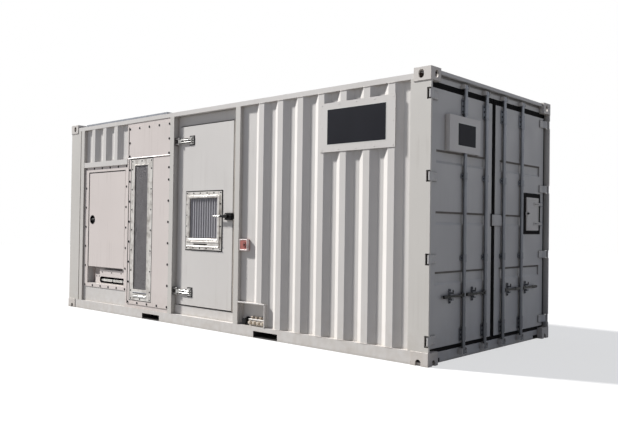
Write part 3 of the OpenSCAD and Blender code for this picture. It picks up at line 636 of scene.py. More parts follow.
# Extruded frames: pale, with lines along them and brownish weathering.
ALUMINIUM = DrawnMetal("mill_finish_aluminium", "aluminium_frame", "#C9C6C2", 0.26, "#6A5F59",
                       line=(1.8, 1.8, 90.0), smeared=0.6)
# Bars that feet and rain have dulled to a soft grey, below the glare of the frames.
SATIN = DrawnMetal("satin_aluminium", "aluminium_frame", "#9C9996", 0.4, "#5A5652", line=(1.8, 1.8, 90.0),
                   smeared=0.6)
# Mirror-bright tube that shows floor and sky as clear bands, between dark smears.
POLISHED = DrawnMetal("polished_stainless_tube", "stainless_steel", "#C2C0BC", 0.12, "#6F6B66",
                      line=(1.8, 90.0, 90.0), smeared=0.6)
# Bolt heads gone nearly black, which dot every frame.
BOLT = DrawnMetal("weathered_zinc_plate", "galvanised_steel", "#17181B", 0.5, "#0E0E10")
# Thin wire that has lost its shine, so the screens read as a fine dark net.
WIRE = DrawnMetal("dull_woven_wire", "filter_mesh", "#6A686A", 0.55, "#4A4849")
# A mid-grey stringy mass behind the net.
PAD = FilterPad("knitted_wire_filter_pad", "filter_mesh", "#757376", 0.6, gap="#5D5C5E", painted_glint="#868688")
# Paler cloth that folds into light and shade.
PLEATS = FilterPad("pleated_filter_cloth", "filter_mesh", "#A8A7AB", 0.7, gap="#8C8C92", painted_glint="#B8B8BC",
                   strand=(4.0, 4.0, 8.0), relief=0.3)
# The blackest lines on the enclosure: seals with no shine at all.
RUBBER = Coating("black_epdm_rubber", "gasket_rubber", "#08080A", 0.75, "#121114", cloud=60, grain=2.5,
                 shine=0.06)
# A softer grey line where the door meets its frame.
GREY_SEAL = Coating("grey_silicone_seal", None, "#8D8A88", 0.5, "#77736F", cloud=60, grain=2.5, shine=0.4)
# Handled black parts, with a low smooth sheen on their edges.
BLACK_COAT = Coating("black_coated_steel", "latch_black", "#0B0B0D", 0.42, "#18181A", shine=0.15)
# The one warm spot on the side, bleached unevenly.
FADED_RED = Coating("sun_faded_red_plastic", "estop_red", "#A9625A", 0.5, "#8A3F3A", cloud=40)
# The same plastic in a darker red, for the ring round the knob.
SHADED_RED = Coating("shaded_red_plastic", None, "#6E302D", 0.55, "#4F2321", cloud=20)
# Red-brown primer that shows through the upper castings.
RUST_SHADE = Coating("primer_inside_castings", None, "#4A3E37", 0.85, "#5E4D42", cloud=30, shine=0.2)
# Near-black painted shade that makes the lower castings' holes, and the edges of the hinge pockets, look
# black.
SHADE_BLACK = Coating("road_grease_inside_castings", None, "#0D0C0B", 0.8, "#191614", cloud=30, shine=0.1)
# A brown-grey film of painted shade in the pressings, which draws each one as a dark stroke.
PRESSING_SHADE = Coating("road_dirt_in_pressings", None, "#74706C", 0.85, "#918D88", cloud=90, shine=0.15)
# Yellowed plastic with a faint sheen.
CREAM_CAPS = Coating("cream_plastic_caps", None, "#CBBFAF", 0.42, "#8F8474", cloud=25)
# A pinkish pale moulding round the switch.
PALE_PLASTIC = Coating("pale_grey_plastic", None, "#D6C8C5", 0.42, "#AC9F9C", cloud=50)
# An even blue-black field without a mark on it.
SIGN_FILM = Coating("dark_grey_sign_film", None, "#17181F", 0.5, "#1E1F27", cloud=300, depth=0.03, shine=0.08)
# The thin white line round that field.
EDGE_FILM = Coating("white_sign_film", None, "#D8D8D4", 0.38, "#C2C2BE", cloud=200, depth=0.03)

SLOT_FINISHES: dict[str, Finish] = {
    finish.slot: finish
    for finish in (UNDERBODY, FLOOR, GALVANISED, STAINLESS, ALUMINIUM, PAD, RUBBER, BLACK_COAT, FADED_RED,
                   WARM_WHITE, WHITE)
}
NODE_FINISHES: dict[str, Finish] = {
    "top_castings": CAST_WHITE, "bottom_castings": CAST_WHITE, "corner_posts": POST_WHITE,
    "side_posts": POST_WHITE, "cargo_door_left": SHADE_GREYED_WHITE, "cargo_door_right": SHADE_GREYED_WHITE,
    "end_rails": SHADE_GREYED_WHITE, "door_fixings": SHADE_DARKENED_STEEL, "door_vent_filter": PLEATS}


# ---------------- making pieces


def put(name: str, data: bpy.types.ID) -> Piece:
    """Puts a new object in the scene.

    Args:
        name: its name.
        data: its mesh, camera or lamp.

    Returns:
        The object.
    """
    made = bpy.data.objects.new(name, data)
    bpy.context.scene.collection.objects.link(made)
    return made


class Maker:
    """Builds the mesh of one piece on one face of the enclosure."""

    def __init__(self, side: Side) -> None:
        """Starts an empty piece on a face."""
        self.side = side
        self.mesh = bmesh.new()

    def skin(self, rings: list[list[Place]], closed: bool = False) -> None:
        """Joins rings of points into a solid.

        Args:
            rings: as many points in each, as along, up and out.
            closed: whether the last ring meets the first; if not, both end rings are filled.
        """
        made = [[self.mesh.verts.new(self.side.point(*p) * MM) for p in ring] for ring in rings]
        pairs = list(zip(made, made[1:] + made[:1] if closed else made[1:]))
        for one, two in pairs:
            for i in range(len(one)):
                self.mesh.faces.new((one[i - 1], one[i], two[i], two[i - 1]))
        if not closed:
            self.mesh.faces.new(made[0])
            self.mesh.faces.new(made[-1])

    def plate(self, outline: Outline, out: Span, chamfer: float = 0.0) -> None:
        """A flat part with its front edges taken off.

        Args:
            outline: its shape on the face.
            out: where its back and its front lie.
            chamfer: how much of its front edges is taken off.
        """
        steps = [(0.0, out[0]), (0.0, out[1] - chamfer), (chamfer, out[1])]
        if not chamfer:
            steps.pop()
        self.skin([[(a, u, o) for a, u in shrunk(outline, inset)] for inset, o in steps])

    def moulding(self, outline: Outline, section: list[tuple[float, float]]) -> None:
        """A strip that runs round an outline.

        Args:
            outline: the shape that it follows.
            section: its cross-section, as inset from the outline and how far out.
        """
        self.skin([[(a, u, o) for a, u in shrunk(outline, inset)] for inset, o in section], closed=True)

    def turned(self, middle: Place, way: Way, steps: list[tuple[float, float]], sides: int = 20) -> None:
        """A part turned on a lathe.

        Args:
            middle: a point on its axis, as along, up and out.
            way: which way the axis runs.
            steps: its outline, as distance along the axis and radius.
            sides: how many sides its circle has.
        """
        rings: list[list[Place]] = []
        for reach, radius in steps:
            ring = []
            for a, b in circle(radius, sides):
                shift = [a, b]
                shift.insert(way.value, reach)
                ring.append(tuple(m + s for m, s in zip(middle, shift)))
            rings.append(ring)
        self.skin(rings)

    def rod(self, path: list[Place], radius: float, sides: int) -> None:
        """A round bar or wire bent along a path.

        Args:
            path: its middle line, as along, up and out.
            radius: its radius.
            sides: how many sides its section has.
        """
        points = [Vector(p) for p in path]
        across = Vector(ODD_WAY)
        rings: list[list[Place]] = []
        for point, before, after in zip(points, points[:1] + points, points[1:] + points[-1:]):
            run = (after - before).normalized()
            across = (across - run * across.dot(run)).normalized()
            third = run.cross(across)
            rings.append([tuple(point + across * a + third * b) for a, b in circle(radius, sides)])
        self.skin(rings)

    def bolt(self, along: float, up: float, face: float, size: float = 16.0, height: float = 4.8) -> None:
        """A hexagon head on its washer.

        Args:
            along: its place along the face.
            up: its place up the face.
            face: how far out the steel under it lies.
            size: width of the head across its flats.
            height: how far it stands out.
        """
        washer = height * 0.3
        self.plate(circle(size * 0.78, 14, (along, up)), (face, face + washer), 0.4)
        head = size / 2 / math.cos(math.pi / 6)
        self.plate(circle(head, 6, (along, up)), (face + washer, face + height), 0.8)

    def rivet(self, along: float, up: float, face: float, radius: float, height: float) -> None:
        """A domed rivet head.

        Args:
            along: its place along the face.
            up: its place up the face.
            face: how far out the steel under it lies.
            radius: its radius.
            height: how far it stands out.
        """
        curve = ((0, 1), (0.55, 0.85), (0.88, 0.55), (1, 0.2))
        dome = [(height * rise, radius * width) for rise, width in curve]
        self.turned((along, up, face), Way.OUT, dome, 12)

    def weld(self, path: list[Place], size: float) -> None:
        """A welded seam, laid in short overlapping ripples.

        Args:
            path: the corner that it fills.
            size: its radius.
        """
        run: list[Place] = []
        for one, two in zip(path, path[1:]):
            start, end = Vector(one), Vector(two)
            count = max(1, round((end - start).length / RIPPLE))
            run += [tuple(start.lerp(end, i / count)) for i in range(count)]
        self.rod(run + [path[-1]], size, 6)

    def close(self, name: str, body: str, finish: Finish) -> Piece:
        """Turns the mesh into a piece that rides on a body.

        Args:
            name: the piece's name.
            body: the body that it moves with.
            finish: what it is made of.

        Returns:
            The piece.
        """
        bmesh.ops.recalc_face_normals(self.mesh, faces=self.mesh.faces)
        data = bpy.data.meshes.new(name)
        self.mesh.to_mesh(data)
        self.mesh.free()
        data.shade_smooth()
        data.set_sharp_from_angle(angle=math.radians(ROUND_BELOW))
        data.materials.append(finish.material())
        made = put(name, data)
        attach(made, body)
        return made


# ---------------- studio


@dataclass
class Studio:
    """Camera, floor, sky and one key lamp."""

    camera_place: Place = (6302.0, -6326.0, 1185.0)
    azimuth: float = 42.436
    elevation: float = -0.867
    roll: float = 0.83
    lens: float = 40.71
    key_from: Place = (-0.729, -0.270, 0.629)
    key_strength: float = 6.75
    key_width: float = 4.0
    key_tint: Place = (1.0, 0.985, 0.96)
    sky_strength: float = 0.26
    floor_size: float = 60000.0
    floor_shade: float = 0.36
    sensor: float = 36.0
    sight: float = 200.0

    def build(self) -> None:
        """Sets up everything round the enclosure."""
        bpy.context.scene.view_settings.view_transform = "Standard"
        self.set_camera()
        self.light_sky()
        self.hang_key()
        self.lay_floor()

    def set_camera(self) -> None:
        """Stands the camera at the front left of the cargo doors, at chest height."""
        turn, tip, lean = (math.radians(v) for v in (self.azimuth, self.elevation, self.roll))
        back = Vector((math.sin(turn) * math.cos(tip), -math.cos(turn) * math.cos(tip), math.sin(tip)))
        right = Vector((math.cos(turn), math.sin(turn), 0.0))
        up = back.cross(right)
        leaned = (right * math.cos(lean) + up * math.sin(lean),
                  up * math.cos(lean) - right * math.sin(lean), back)
        data = bpy.data.cameras.new("camera")
        data.lens = self.lens
        data.sensor_width = self.sensor
        data.clip_end = self.sight
        made = put("camera", data)
        place = Matrix.Translation(Vector(self.camera_place) * MM)
        made.matrix_world = place @ Matrix(leaned).transposed().to_4x4()
        bpy.context.scene.camera = made

    def light_sky(self) -> None:
        """An even sky: white to the eye, in reflections and through glass, dimmer and bluer as light."""
        world = bpy.data.worlds.new("sky")
        world.use_nodes = True
        tree = world.node_tree
        tree.nodes.clear()
        dim = add(tree, "Background", {"Color": linear("#CFDBF5"), "Strength": self.sky_strength})
        white = add(tree, "Background", {"Color": PURE_WHITE, "Strength": 1.0})
        mixed = add(tree, "MixShader", {"Fac": self.seen(tree), 1: dim, 2: white})
        add(tree, "OutputWorld", {"Surface": mixed})
        bpy.context.scene.world = world

    def seen(self, tree: Tree) -> Node:
        """Which rays see the background as white.

        Args:
            tree: the node tree that asks.

        Returns:
            A node that is 1 for the eye, for reflections and through glass.
        """
        rays = add(tree, "LightPath").outputs
        either = add(tree, "Math", {0: rays["Is Camera Ray"], 1: rays["Is Glossy Ray"]}, operation="MAXIMUM")
        return add(tree, "Math", {0: either, 1: rays["Is Transmission Ray"]}, operation="MAXIMUM")

    def hang_key(self) -> None:
        """One lamp, over the far end and a little to the front. Its width softens the shadows' edges."""
        data = bpy.data.lights.new("key", "SUN")
        data.energy = self.key_strength
        data.angle = math.radians(self.key_width)
        data.color = self.key_tint
        made = put("key", data)
        made.rotation_euler = Vector(self.key_from).to_track_quat("Z", "Y").to_euler()

    def lay_floor(self) -> None:
        """A plain pale floor that keeps the enclosure's shadow, and gives back less light than it shows."""
        half = self.floor_size / 2 * MM
        data = bpy.data.meshes.new("floor")
        corners = [(-half, -half, 0), (half, -half, 0), (half, half, 0), (-half, half, 0)]
        data.from_pydata(corners, [], [(0, 1, 2, 3)])
        made = put("floor", data)
        paper = bpy.data.materials.new("pale_paper_floor")
        paper.use_nodes = True
        tree = paper.node_tree
        tree.nodes.clear()
        shaded = add(tree, "BsdfDiffuse", {"Color": linear("#F2F2F2")})
        white = add(tree, "Emission", {"Color": PURE_WHITE, "Strength": 1.0})
        shown = add(tree, "MixShader", {"Fac": self.floor_shade, 1: white, 2: shaded})
        bounce = add(tree, "BsdfDiffuse", {"Color": linear("#8C8A88")})
        mixed = add(tree, "MixShader", {"Fac": self.seen(tree), 1: bounce, 2: shown})
        add(tree, "OutputMaterial", {"Surface": mixed})
        data.materials.append(paper)


def started(side: Side, node: str) -> tuple[Maker, Block]:
    """Starts a piece on a face, and measures the steelwork that it goes on."""
    return Maker(side), whole(side, node)


# ---------------- sub-assemblies


@dataclass
class Assembly(ABC):
    """Fixings and fittings that belong to one part of the enclosure."""

    made: list[Piece] = field(default_factory=list, init=False)

    @property
    def body(self) -> str:
        """The body that its pieces move with."""
        return ROOT

    @abstractmethod
    def build(self) -> None:
        """Makes the pieces, each on its body."""

    def keep(self, maker: Maker, name: str, finish: Finish, body: str = "") -> None:
        """Closes a piece's mesh and counts it among the pieces made.

        Args:
            maker: the mesh.
            name: the piece's name.
            finish: what it is made of.
            body: the body that it moves with, where that is not this sub-assembly's own.
        """
        self.made.append(maker.close(name, body or self.body, finish))

    def lay_films(self, side: Side, node: str, margins: tuple[Span, Span], films: list[tuple]) -> None:
        """The films of a sign, one on another.

        Args:
            side: the face that the sign is on.
            node: the steelwork that carries it.
            margins: what stays bare at its left and right, and at its foot and head.
            films: for each, its name, how far it reaches past the field, its thickness, chamfer and finish.
        """
        base = whole(side, node)
        (left, right), (low, high) = margins
        dark = oblong(inner(base.along, left, right), inner(base.up, low, high))
        for name, grow, thick, chamfer, finish in films:
            maker = Maker(side)
            maker.plate(shrunk(dark, -grow), base.proud(thick), chamfer)
            self.keep(maker, name, finish)


@dataclass
class Seams(Assembly):
    """Weld seams of the shell: round the corner castings, along the walls and along the roof."""

    size: float = 3.6
    gap: float = 300.0

    def build(self) -> None:
        """Welds of both long sides, the far end and the roof, a piece for each."""
        for side in (Side.FRONT, Side.REAR):
            self.side_seams(side)
        self.far_seams()
        self.roof_seams()

    def wall_runs(self, side: Side, node: str, level: float, lift: float) -> list[list[Place]]:
        """Lines along the foot or the head of a ribbed wall.

        Args:
            side: the face that it is on.
            node: the wall's node.
            level: height of the wall's edge.
            lift: how far the weld's middle lies above it.

        Returns:
            One line for each stretch without an opening.
        """
        wall = whole(side, node)
        found: set[tuple[float, float]] = set()
        for vertex in frame["nodes"][node].data.vertices:
            along, up, out = side.measures(Vector(vertex.co) / MM)
            if abs(up - level) < 1 and out > wall.face - 40:
                found.add((round(along, 1), round(out, 1)))
        runs: list[list[Place]] = [[]]
        for along, out in sorted(found):
            if runs[-1] and along - runs[-1][-1][0] > self.gap:
                runs.append([])
            runs[-1].append((along, level + lift, out + 1))
        return [run for run in runs if len(run) > 1]

    def side_seams(self, side: Side) -> None:
        """Welds of one long side.

        Args:
            side: the long side.
        """
        maker, rail = started(side, "bottom_side_rails")
        top = whole(side, "top_side_rails")
        wall = "front_corrugated_wall" if side is Side.FRONT else "rear_corrugated_wall"
        for run in self.wall_runs(side, wall, rail.up[1], 1) + self.wall_runs(side, wall, top.up[0], -1):
            maker.weld(run, self.size)
        for node, edge, lift in (("bottom_castings", 1, 1), ("top_castings", 0, -1)):
            for casting in facing(side, node):
                level = casting.up[edge] + lift
                maker.weld([(along, level, rail.face + 1) for along in casting.along], self.size)
                inward = casting.along[0] - 1 if casting.along[0] > 0 else casting.along[1] + 1
                beam = rail.up if node == "bottom_castings" else top.up
                maker.weld([(inward, beam[0], rail.face + 1), (inward, beam[1], rail.face + 1)], self.size)
        self.keep(maker, f"weld_seams_{side.name.lower()}", CAST_WHITE)

    def far_seams(self) -> None:
        """Welds of the far end."""
        maker, wall = started(Side.FAR, "far_end_wall")
        for level, lift in ((wall.up[0], 2), (wall.up[1], -2)):
            for run in self.wall_runs(Side.FAR, "far_end_wall", level, lift):
                maker.weld([(a, u, o - 1) for a, u, o in run], 3)
        for side in (-1, 1):
            along = side * (wall.along[1] - 2)
            maker.weld([(along, wall.up[0], wall.face - 34), (along, wall.up[1], wall.face - 34)], 5)
        self.keep(maker, "weld_seams_far_end", CAST_WHITE)

    def roof_seams(self) -> None:
        """Welds between the roof sheet and the side rails."""
        maker, roof = started(Side.ROOF, "roof_panel")
        for edge in roof.up:
            maker.weld([(along, edge, roof.face - 1) for along in roof.along], self.size)
        self.keep(maker, "weld_seams_roof", CAST_WHITE)


@dataclass
class Linings(Assembly):
    """Insides seen through the castings' apertures and in the sill's notches: primer above, painted shade
    below.
    """

    wall: float = 16.3
    floor: float = 28.3
    roof: float = 12.3
    sheet: float = 2.0
    notch_along: Span = (945.3, 1056.7)
    notch_up: Span = (6.3, 43.7)
    notch_depth: float = 70.0
    hinge_levels: tuple[float, ...] = (216.0, 922.0, 1641.0, 2357.0)
    pocket: tuple[float, float] = (43.0, 41.0)
    shade_band_width: float = 9.0
    shade_band_thick: float = 0.5

    def build(self) -> None:
        """Linings of the castings and of the notches, and painted shade by the hinges."""
        # The lower castings are lined in near-black painted shade, the upper ones in red-brown primer.
        self.casting_linings("bottom_castings", True, SHADE_BLACK)
        self.casting_linings("top_castings", False, RUST_SHADE)
        self.notch_linings()
        for side in (Side.FRONT, Side.REAR):
            self.paint_hinge_shade(side)

    def end_of(self, span: Span, high: bool) -> Span:
        """The part of a span that a lining takes up at one of its ends."""
        return (span[1] - self.sheet, span[1]) if high else (span[0], span[0] + self.sheet)

    def casting_linings(self, node: str, closed_high: bool, finish: Finish) -> None:
        """Three linings in each casting: on its two hidden walls and on its closed plate.

        Args:
            node: the castings.
            closed_high: whether their closed plate is the upper one.
            finish: what covers the inside.
        """
        maker = Maker(Side.ROOF)
        low, high = (self.floor, self.roof) if closed_high else (self.roof, self.floor)
        for casting in solids(Side.ROOF, node):
            along, up = inner(casting.along, self.wall), inner(casting.up, self.wall)
            out = inner(casting.out, low, high)
            maker.plate(oblong(along, up), self.end_of(out, closed_high))
            maker.plate(oblong(self.end_of(along, sum(along) < 0), up), out)
            maker.plate(oblong(along, self.end_of(up, sum(up) < 0)), out)
        self.keep(maker, f"{node}_linings", finish)

    def notch_linings(self) -> None:
        """Back and walls of the two notches, whose dark coat stands as painted shade inside them."""
        maker = Maker(Side.DOORS)
        mouth = whole(Side.DOORS, "cam_keepers").out[0] - 0.4
        back = mouth - self.notch_depth + 0.7
        for way in (-1, 1):
            low, high = sorted(way * reach for reach in self.notch_along)
            edge = oblong((low, high), self.notch_up)
            maker.plate(edge, (back, back + 1))
            maker.moulding(edge, [(0, back), (0, mouth), (self.sheet, mouth), (self.sheet, back)])
        self.keep(maker, "sill_notch_linings", UNDERBODY)

    def paint_hinge_shade(self, side: Side) -> None:
        """Painted shade on the post, over and under the pocket of each hinge.

        It is a near-black film for the dark line of shade round the pocket.

        Args:
            side: the post's side.
        """
        maker, post = started(side, "corner_posts")
        along = (post.along[1] - self.pocket[0], post.along[1] - 1)
        for level in self.hinge_levels:
            for low in (level + self.pocket[1], level - self.pocket[1] - self.shade_band_width):
                maker.plate(oblong(along, (low, low + self.shade_band_width), 3), post.proud(self.shade_band_thick))
        self.keep(maker, f"hinge_pocket_grease_{side.name.lower()}", SHADE_BLACK)


@dataclass
class HatchBay(Assembly):
    """Bolts of the frame round the service hatch, the hatch's lock, and the filling neck under it."""

    columns: int = 6
    rows: int = 7
    bolt: float = 19.0
    side_inset: float = 36.5
    end_inset: float = 20.0
    lock_inset: float = 96.0
    lock_rise: float = 646.0
    lock_radius: float = 58.0
    lock_depth: float = 22.0
    neck_radius: float = 27.0
    neck_drop: float = 5.0
    slot_radius: float = 43.0
    slot_reach: float = 587.0
    slot_rise: float = 57.0
    slot_depth: float = 60.0
    clip_reaches: Span = (330.0, 90.0)
    lid_screws: Place = (570.0, 340.0, 110.0)
    foot_screws: Span = (745.0, 675.0)

    def build(self) -> None:
        """Everything on the hatch bay."""
        self.bolts()
        self.lock()
        self.slot_liner()
        self.neck()
        self.neck_clips()
        self.box_screws()
        self.leaf_seal()
        self.leaf_edging()

    def bolts(self) -> None:
        """The ring of bolts round the frame."""
        maker = Maker(Side.FRONT)
        plate = facing(Side.FRONT, "bolted_frames")[0]
        places = ring_places(inner(plate.along, self.side_inset), inner(plate.up, self.end_inset),
                             self.columns, self.rows)
        for along, up in places:
            maker.bolt(along, up, plate.face, self.bolt)
        self.keep(maker, "hatch_frame_bolts", BOLT)

    def lock(self) -> None:
        """A cup let into the leaf, with a paddle handle in it."""
        maker, leaf = started(Side.FRONT, "hatch_leaf")
        middle = (leaf.along[0] + self.lock_inset, leaf.up[0] + self.lock_rise)
        floor = leaf.face - self.lock_depth
        maker.moulding(circle(self.lock_radius + 4, 32, middle), [
            (0.0, leaf.face), (0.4, leaf.face + 2), (3.0, leaf.face + 2.8), (6.5, leaf.face + 1),
            (7.0, floor + 0.6), (4.3, floor + 0.6), (4.3, leaf.face)])
        maker.plate(circle(self.lock_radius - 1, 32, middle), (floor + 0.2, floor + 1.0))
        maker.plate(oblong(about(middle[0], 47), about(middle[1], 13), 7), (floor + 0.8, leaf.face - 3), 3.5)
        maker.turned((*middle, leaf.face - 3.5), Way.OUT, [(0, 8), (2.5, 8), (3.5, 6.5)])
        self.keep(maker, "hatch_lock_cup", BLACK_COAT, "service_hatch")

    def slot_outline(self) -> Outline:
        """Shape of the slot in the filling box: round at the left, square at the right.

        Returns:
            Its points, anticlockwise.
        """
        box = whole(Side.FRONT, "fill_box")
        left = box.along[1] - self.slot_reach
        right = box.along[1] - 20
        level = box.up[0] + self.slot_rise
        radius = self.slot_radius - 0.4
        turns = [math.radians(90 + 15 * i) for i in range(13)]
        arc = [(left + radius * math.cos(t), level + radius * math.sin(t)) for t in turns]
        return arc + [(right - 0.4, level - radius), (right - 0.4, level + radius)]

    def slot_liner(self) -> None:
        """Black rubber that lines the slot."""
        maker, box = started(Side.FRONT, "fill_box")
        back = box.face - self.slot_depth
        maker.moulding(self.slot_outline(), [(0, back + 0.4), (0, box.face - 0.3), (2.5, box.face - 0.3),
                                             (2.5, back + 0.4)])
        maker.plate(self.slot_outline(), (back + 0.2, back + 1.2))
        self.keep(maker, "fill_slot_liner", RUBBER)

    def neck(self) -> None:
        """The bright filling tube that lies in the slot, with its domed cap at the left."""
        maker, box = started(Side.FRONT, "fill_box")
        start = box.along[1] - self.slot_reach - self.slot_radius + 6
        length = box.along[1] - 24 - start
        radius = self.neck_radius
        steps = [(0, radius * 0.3), (3, radius * 0.6), (9, radius * 0.84), (20, radius * 0.97), (34, radius),
                 (60, radius), (62, radius - 2), (70, radius - 2), (72, radius), (length - 4, radius),
                 (length, radius - 4)]
        middle = (start, box.up[0] + self.slot_rise - self.neck_drop, box.face - 8 - radius)
        maker.turned(middle, Way.ALONG, steps, 36)
        self.keep(maker, "filling_neck", POLISHED)

    def neck_clips(self) -> None:
        """Two clips that hold the tube."""
        maker, box = started(Side.FRONT, "fill_box")
        level = box.up[0] + self.slot_rise - self.neck_drop
        radius = self.neck_radius + 1.2
        out = box.face - 8 - self.neck_radius
        for along in (box.along[1] - reach for reach in self.clip_reaches):
            maker.turned((along, level, out), Way.ALONG, [(0, radius - 1), (0, radius), (18, radius),
                                                          (18, radius - 1)], 36)
            maker.plate(oblong((along + 2, along + 16), (level + radius - 2, level + radius + 9)),
                        about(out, 3), 1)
        self.keep(maker, "filling_neck_clips", BLACK_COAT)

    def box_screws(self) -> None:
        """Screws of the filling box."""
        maker, box = started(Side.FRONT, "fill_box")
        for reach in self.lid_screws:
            maker.bolt(box.along[1] - reach, box.up[1] - 34, box.face, 11, 4)
        for reach in self.foot_screws:
            maker.bolt(box.along[1] - reach, box.up[0] + 98, box.face - 20, 11, 4)
        self.keep(maker, "filling_box_screws", BOLT)

    def leaf_seal(self) -> None:
        """Rubber strip inside the leaf's edge, that shuts against the tray."""
        maker, leaf = started(Side.FRONT, "hatch_leaf")
        back = leaf.out[0]
        edge = oblong(inner(leaf.along, 26), inner(leaf.up, 26), 20)
        maker.moulding(edge, [(0, back - 9), (0, back - 0.2), (14, back - 0.2), (14, back - 9),
                              (7, back - 12)])
        self.keep(maker, "hatch_leaf_seal", RUBBER, "service_hatch")

    def leaf_edging(self) -> None:
        """Black strips on the leaf's free edge and head: painted shade of the gap against the frame."""
        maker, leaf = started(Side.FRONT, "hatch_leaf")
        out = (leaf.face - 6, leaf.face + 0.8)
        maker.plate(oblong((leaf.along[0] - 1.5, leaf.along[0] + 9), leaf.up), out, 0.4)
        maker.plate(oblong(inner(leaf.along, 9, 4), (leaf.up[1] - 8, leaf.up[1] + 1.5)), out, 0.4)
        self.keep(maker, "hatch_leaf_edging", RUBBER, "service_hatch")


@dataclass
class IntakeBay(Assembly):
    """Bolts of the intake's plates, and the drip lip, bead, woven wire and foot bar of its grille."""

    side: Side
    bolt: float = 19.0
    grille_bolt: float = 14.0
    rim_left: float = 86.0
    rim_right: float = 100.0
    rim_low: float = 140.0
    rim_high: float = 80.0
    wire: float = 0.9
    wire_pitch: float = 12.0
    foot_shade_levels: Place = (30.0, 64.0, 86.0)

    def build(self) -> None:
        """Everything on one side's intake bay."""
        self.plate_bolts()
        self.joint_sealant()
        self.drip_lip()
        self.grille_bolts()
        self.bead()
        self.woven_wire()
        self.foot_bars()

    @property
    def rim(self) -> Block:
        """Box of the grille's frame."""
        return facing(self.side, "intake_grille_frames")[0]

    def name(self, what: str) -> str:
        """Name of a piece on this side."""
        return f"{what}_{self.side.name.lower()}"

    def plates(self) -> tuple[Block, Block]:
        """The lower and the upper plate."""
        low, high = sorted(facing(self.side, "bolted_frames")[-2:], key=lambda b: b.up[0])
        return low, high

    def opening(self) -> tuple[Span, Span]:
        """Where the grille's opening lies.

        Returns:
            Its left and right edge, and its lower and upper edge.
        """
        rim = self.rim
        return inner(rim.along, self.rim_left, self.rim_right), (rim.up[0] + self.rim_low,
                                                                               rim.up[1] - self.rim_high)

    def plate_bolts(self) -> None:
        """Bolts along the edges of both plates."""
        maker = Maker(self.side)
        low, high = self.plates()
        columns = inner(high.along, 30, 17)
        places = [(a, high.up[1] - 26) for a in spread(columns, 5)]
        places += [(a, u) for a in columns for u in (high.up[0] + 22, high.up[0] + 196)]
        columns = inner(low.along, 29, 15)
        rows = spread(inner(low.up, 23, 280), 7) + [low.up[1] - 130]
        places += [(a, u) for a in columns for u in rows]
        places += [(a, low.up[0] + 22) for a in spread(columns, 5)[1:-1]]
        for along, up in places:
            maker.bolt(along, up, low.face, self.bolt)
        self.keep(maker, self.name("intake_plate_bolts"), BOLT)

    def joint_sealant(self) -> None:
        """Black sealant along the joint with the hatch bay and round the grille's frame, and painted shade
        along its foot.
        """
        maker = Maker(self.side)
        low, high = self.plates()
        rim = self.rim
        for plate in (low, high):
            maker.plate(oblong((plate.along[0] + 1, plate.along[0] + 14), plate.up), plate.proud(0.8))
        maker.moulding(oblong(rim.along, rim.up), [(-7, low.face), (-7, low.face + 1), (0.5, low.face + 1),
                                                   (0.5, low.face)])
        (left, right), _ = self.opening()
        # Dark strips over and under the foot bars: painted shade.
        for level in self.foot_shade_levels:
            maker.plate(oblong((left - 8, right + 8), (rim.up[0] + level, rim.up[0] + level + 5)),
                        rim.proud(0.8))
        self.keep(maker, self.name("joint_sealant"), RUBBER)

    def drip_lip(self) -> None:
        """The lip folded out along the foot of the upper plate, with a sloping top."""
        maker = Maker(self.side)
        _, high = self.plates()
        foot = high.up[0] - 6
        section = [(foot, high.out[0]), (foot, high.face + 4.5), (foot + 1, high.face + 5),
                   (foot + 8, high.face + 0.4), (foot + 8, high.out[0])]
        maker.skin([[(along, up, out) for up, out in section] for along in high.along])
        self.keep(maker, self.name("intake_drip_lip"), WARM_WHITE)

    def grille_bolts(self) -> None:
        """Screws of the grille's frame."""
        maker = Maker(self.side)
        rim = self.rim
        columns = inner(rim.along, 27)
        places = [(a, u) for a in columns for u in spread(inner(rim.up, 120, 126), 7)]
        places += [(a, u) for a in spread(columns, 3) for u in inner(rim.up, 18, 24)]
        for along, up in places:
            maker.bolt(along, up, rim.face, self.grille_bolt, 4)
        self.keep(maker, self.name("grille_frame_screws"), BOLT)

    def bead(self) -> None:
        """The raised bead round the opening."""
        maker = Maker(self.side)
        rim = self.rim
        maker.moulding(oblong(*self.opening()), [
            (-15, rim.face), (-13, rim.face + 4), (-9, rim.face + 5.2), (-4, rim.face + 5.2),
            (0.5, rim.face + 3), (0.5, rim.out[0])])
        self.keep(maker, self.name("grille_bead"), ALUMINIUM)

    def woven_wire(self) -> None:
        """Plain-woven wire over the filter pad."""
        maker = Maker(self.side)
        rim = self.rim
        depth = rim.out[0] + 2.6
        (left, right), (low, high) = self.opening()
        columns = spread((left, right), round((right - left) / self.wire_pitch) + 1)
        rows = spread((low, high), round((high - low) / self.wire_pitch) + 1)
        for i, along in enumerate(columns):
            maker.rod([(along, up, depth - self.wire * (-1) ** (i + j)) for j, up in enumerate(rows)],
                      self.wire, 4)
        for j, up in enumerate(rows):
            maker.rod([(along, up, depth + self.wire * (-1) ** (i + j)) for i, along in enumerate(columns)],
                      self.wire, 4)
        self.keep(maker, self.name("woven_wire"), WIRE)

    def foot_bars(self) -> None:
        """The bright bar under the opening, and the duller rail over it."""
        (left, right), _ = self.opening()
        for name, low, high, corner, thick, finish in (("grille_foot_bar", 36, 62, 4, 5.4, STAINLESS),
                                                       ("grille_foot_rail", 92, 104, 3, 3.4, GALVANISED)):
            maker = Maker(self.side)
            maker.plate(oblong((left - 8, right + 8), (self.rim.up[0] + low, self.rim.up[0] + high), corner),
                        (self.rim.face, self.rim.face + thick), corner / 2)
            self.keep(maker, self.name(name), finish)


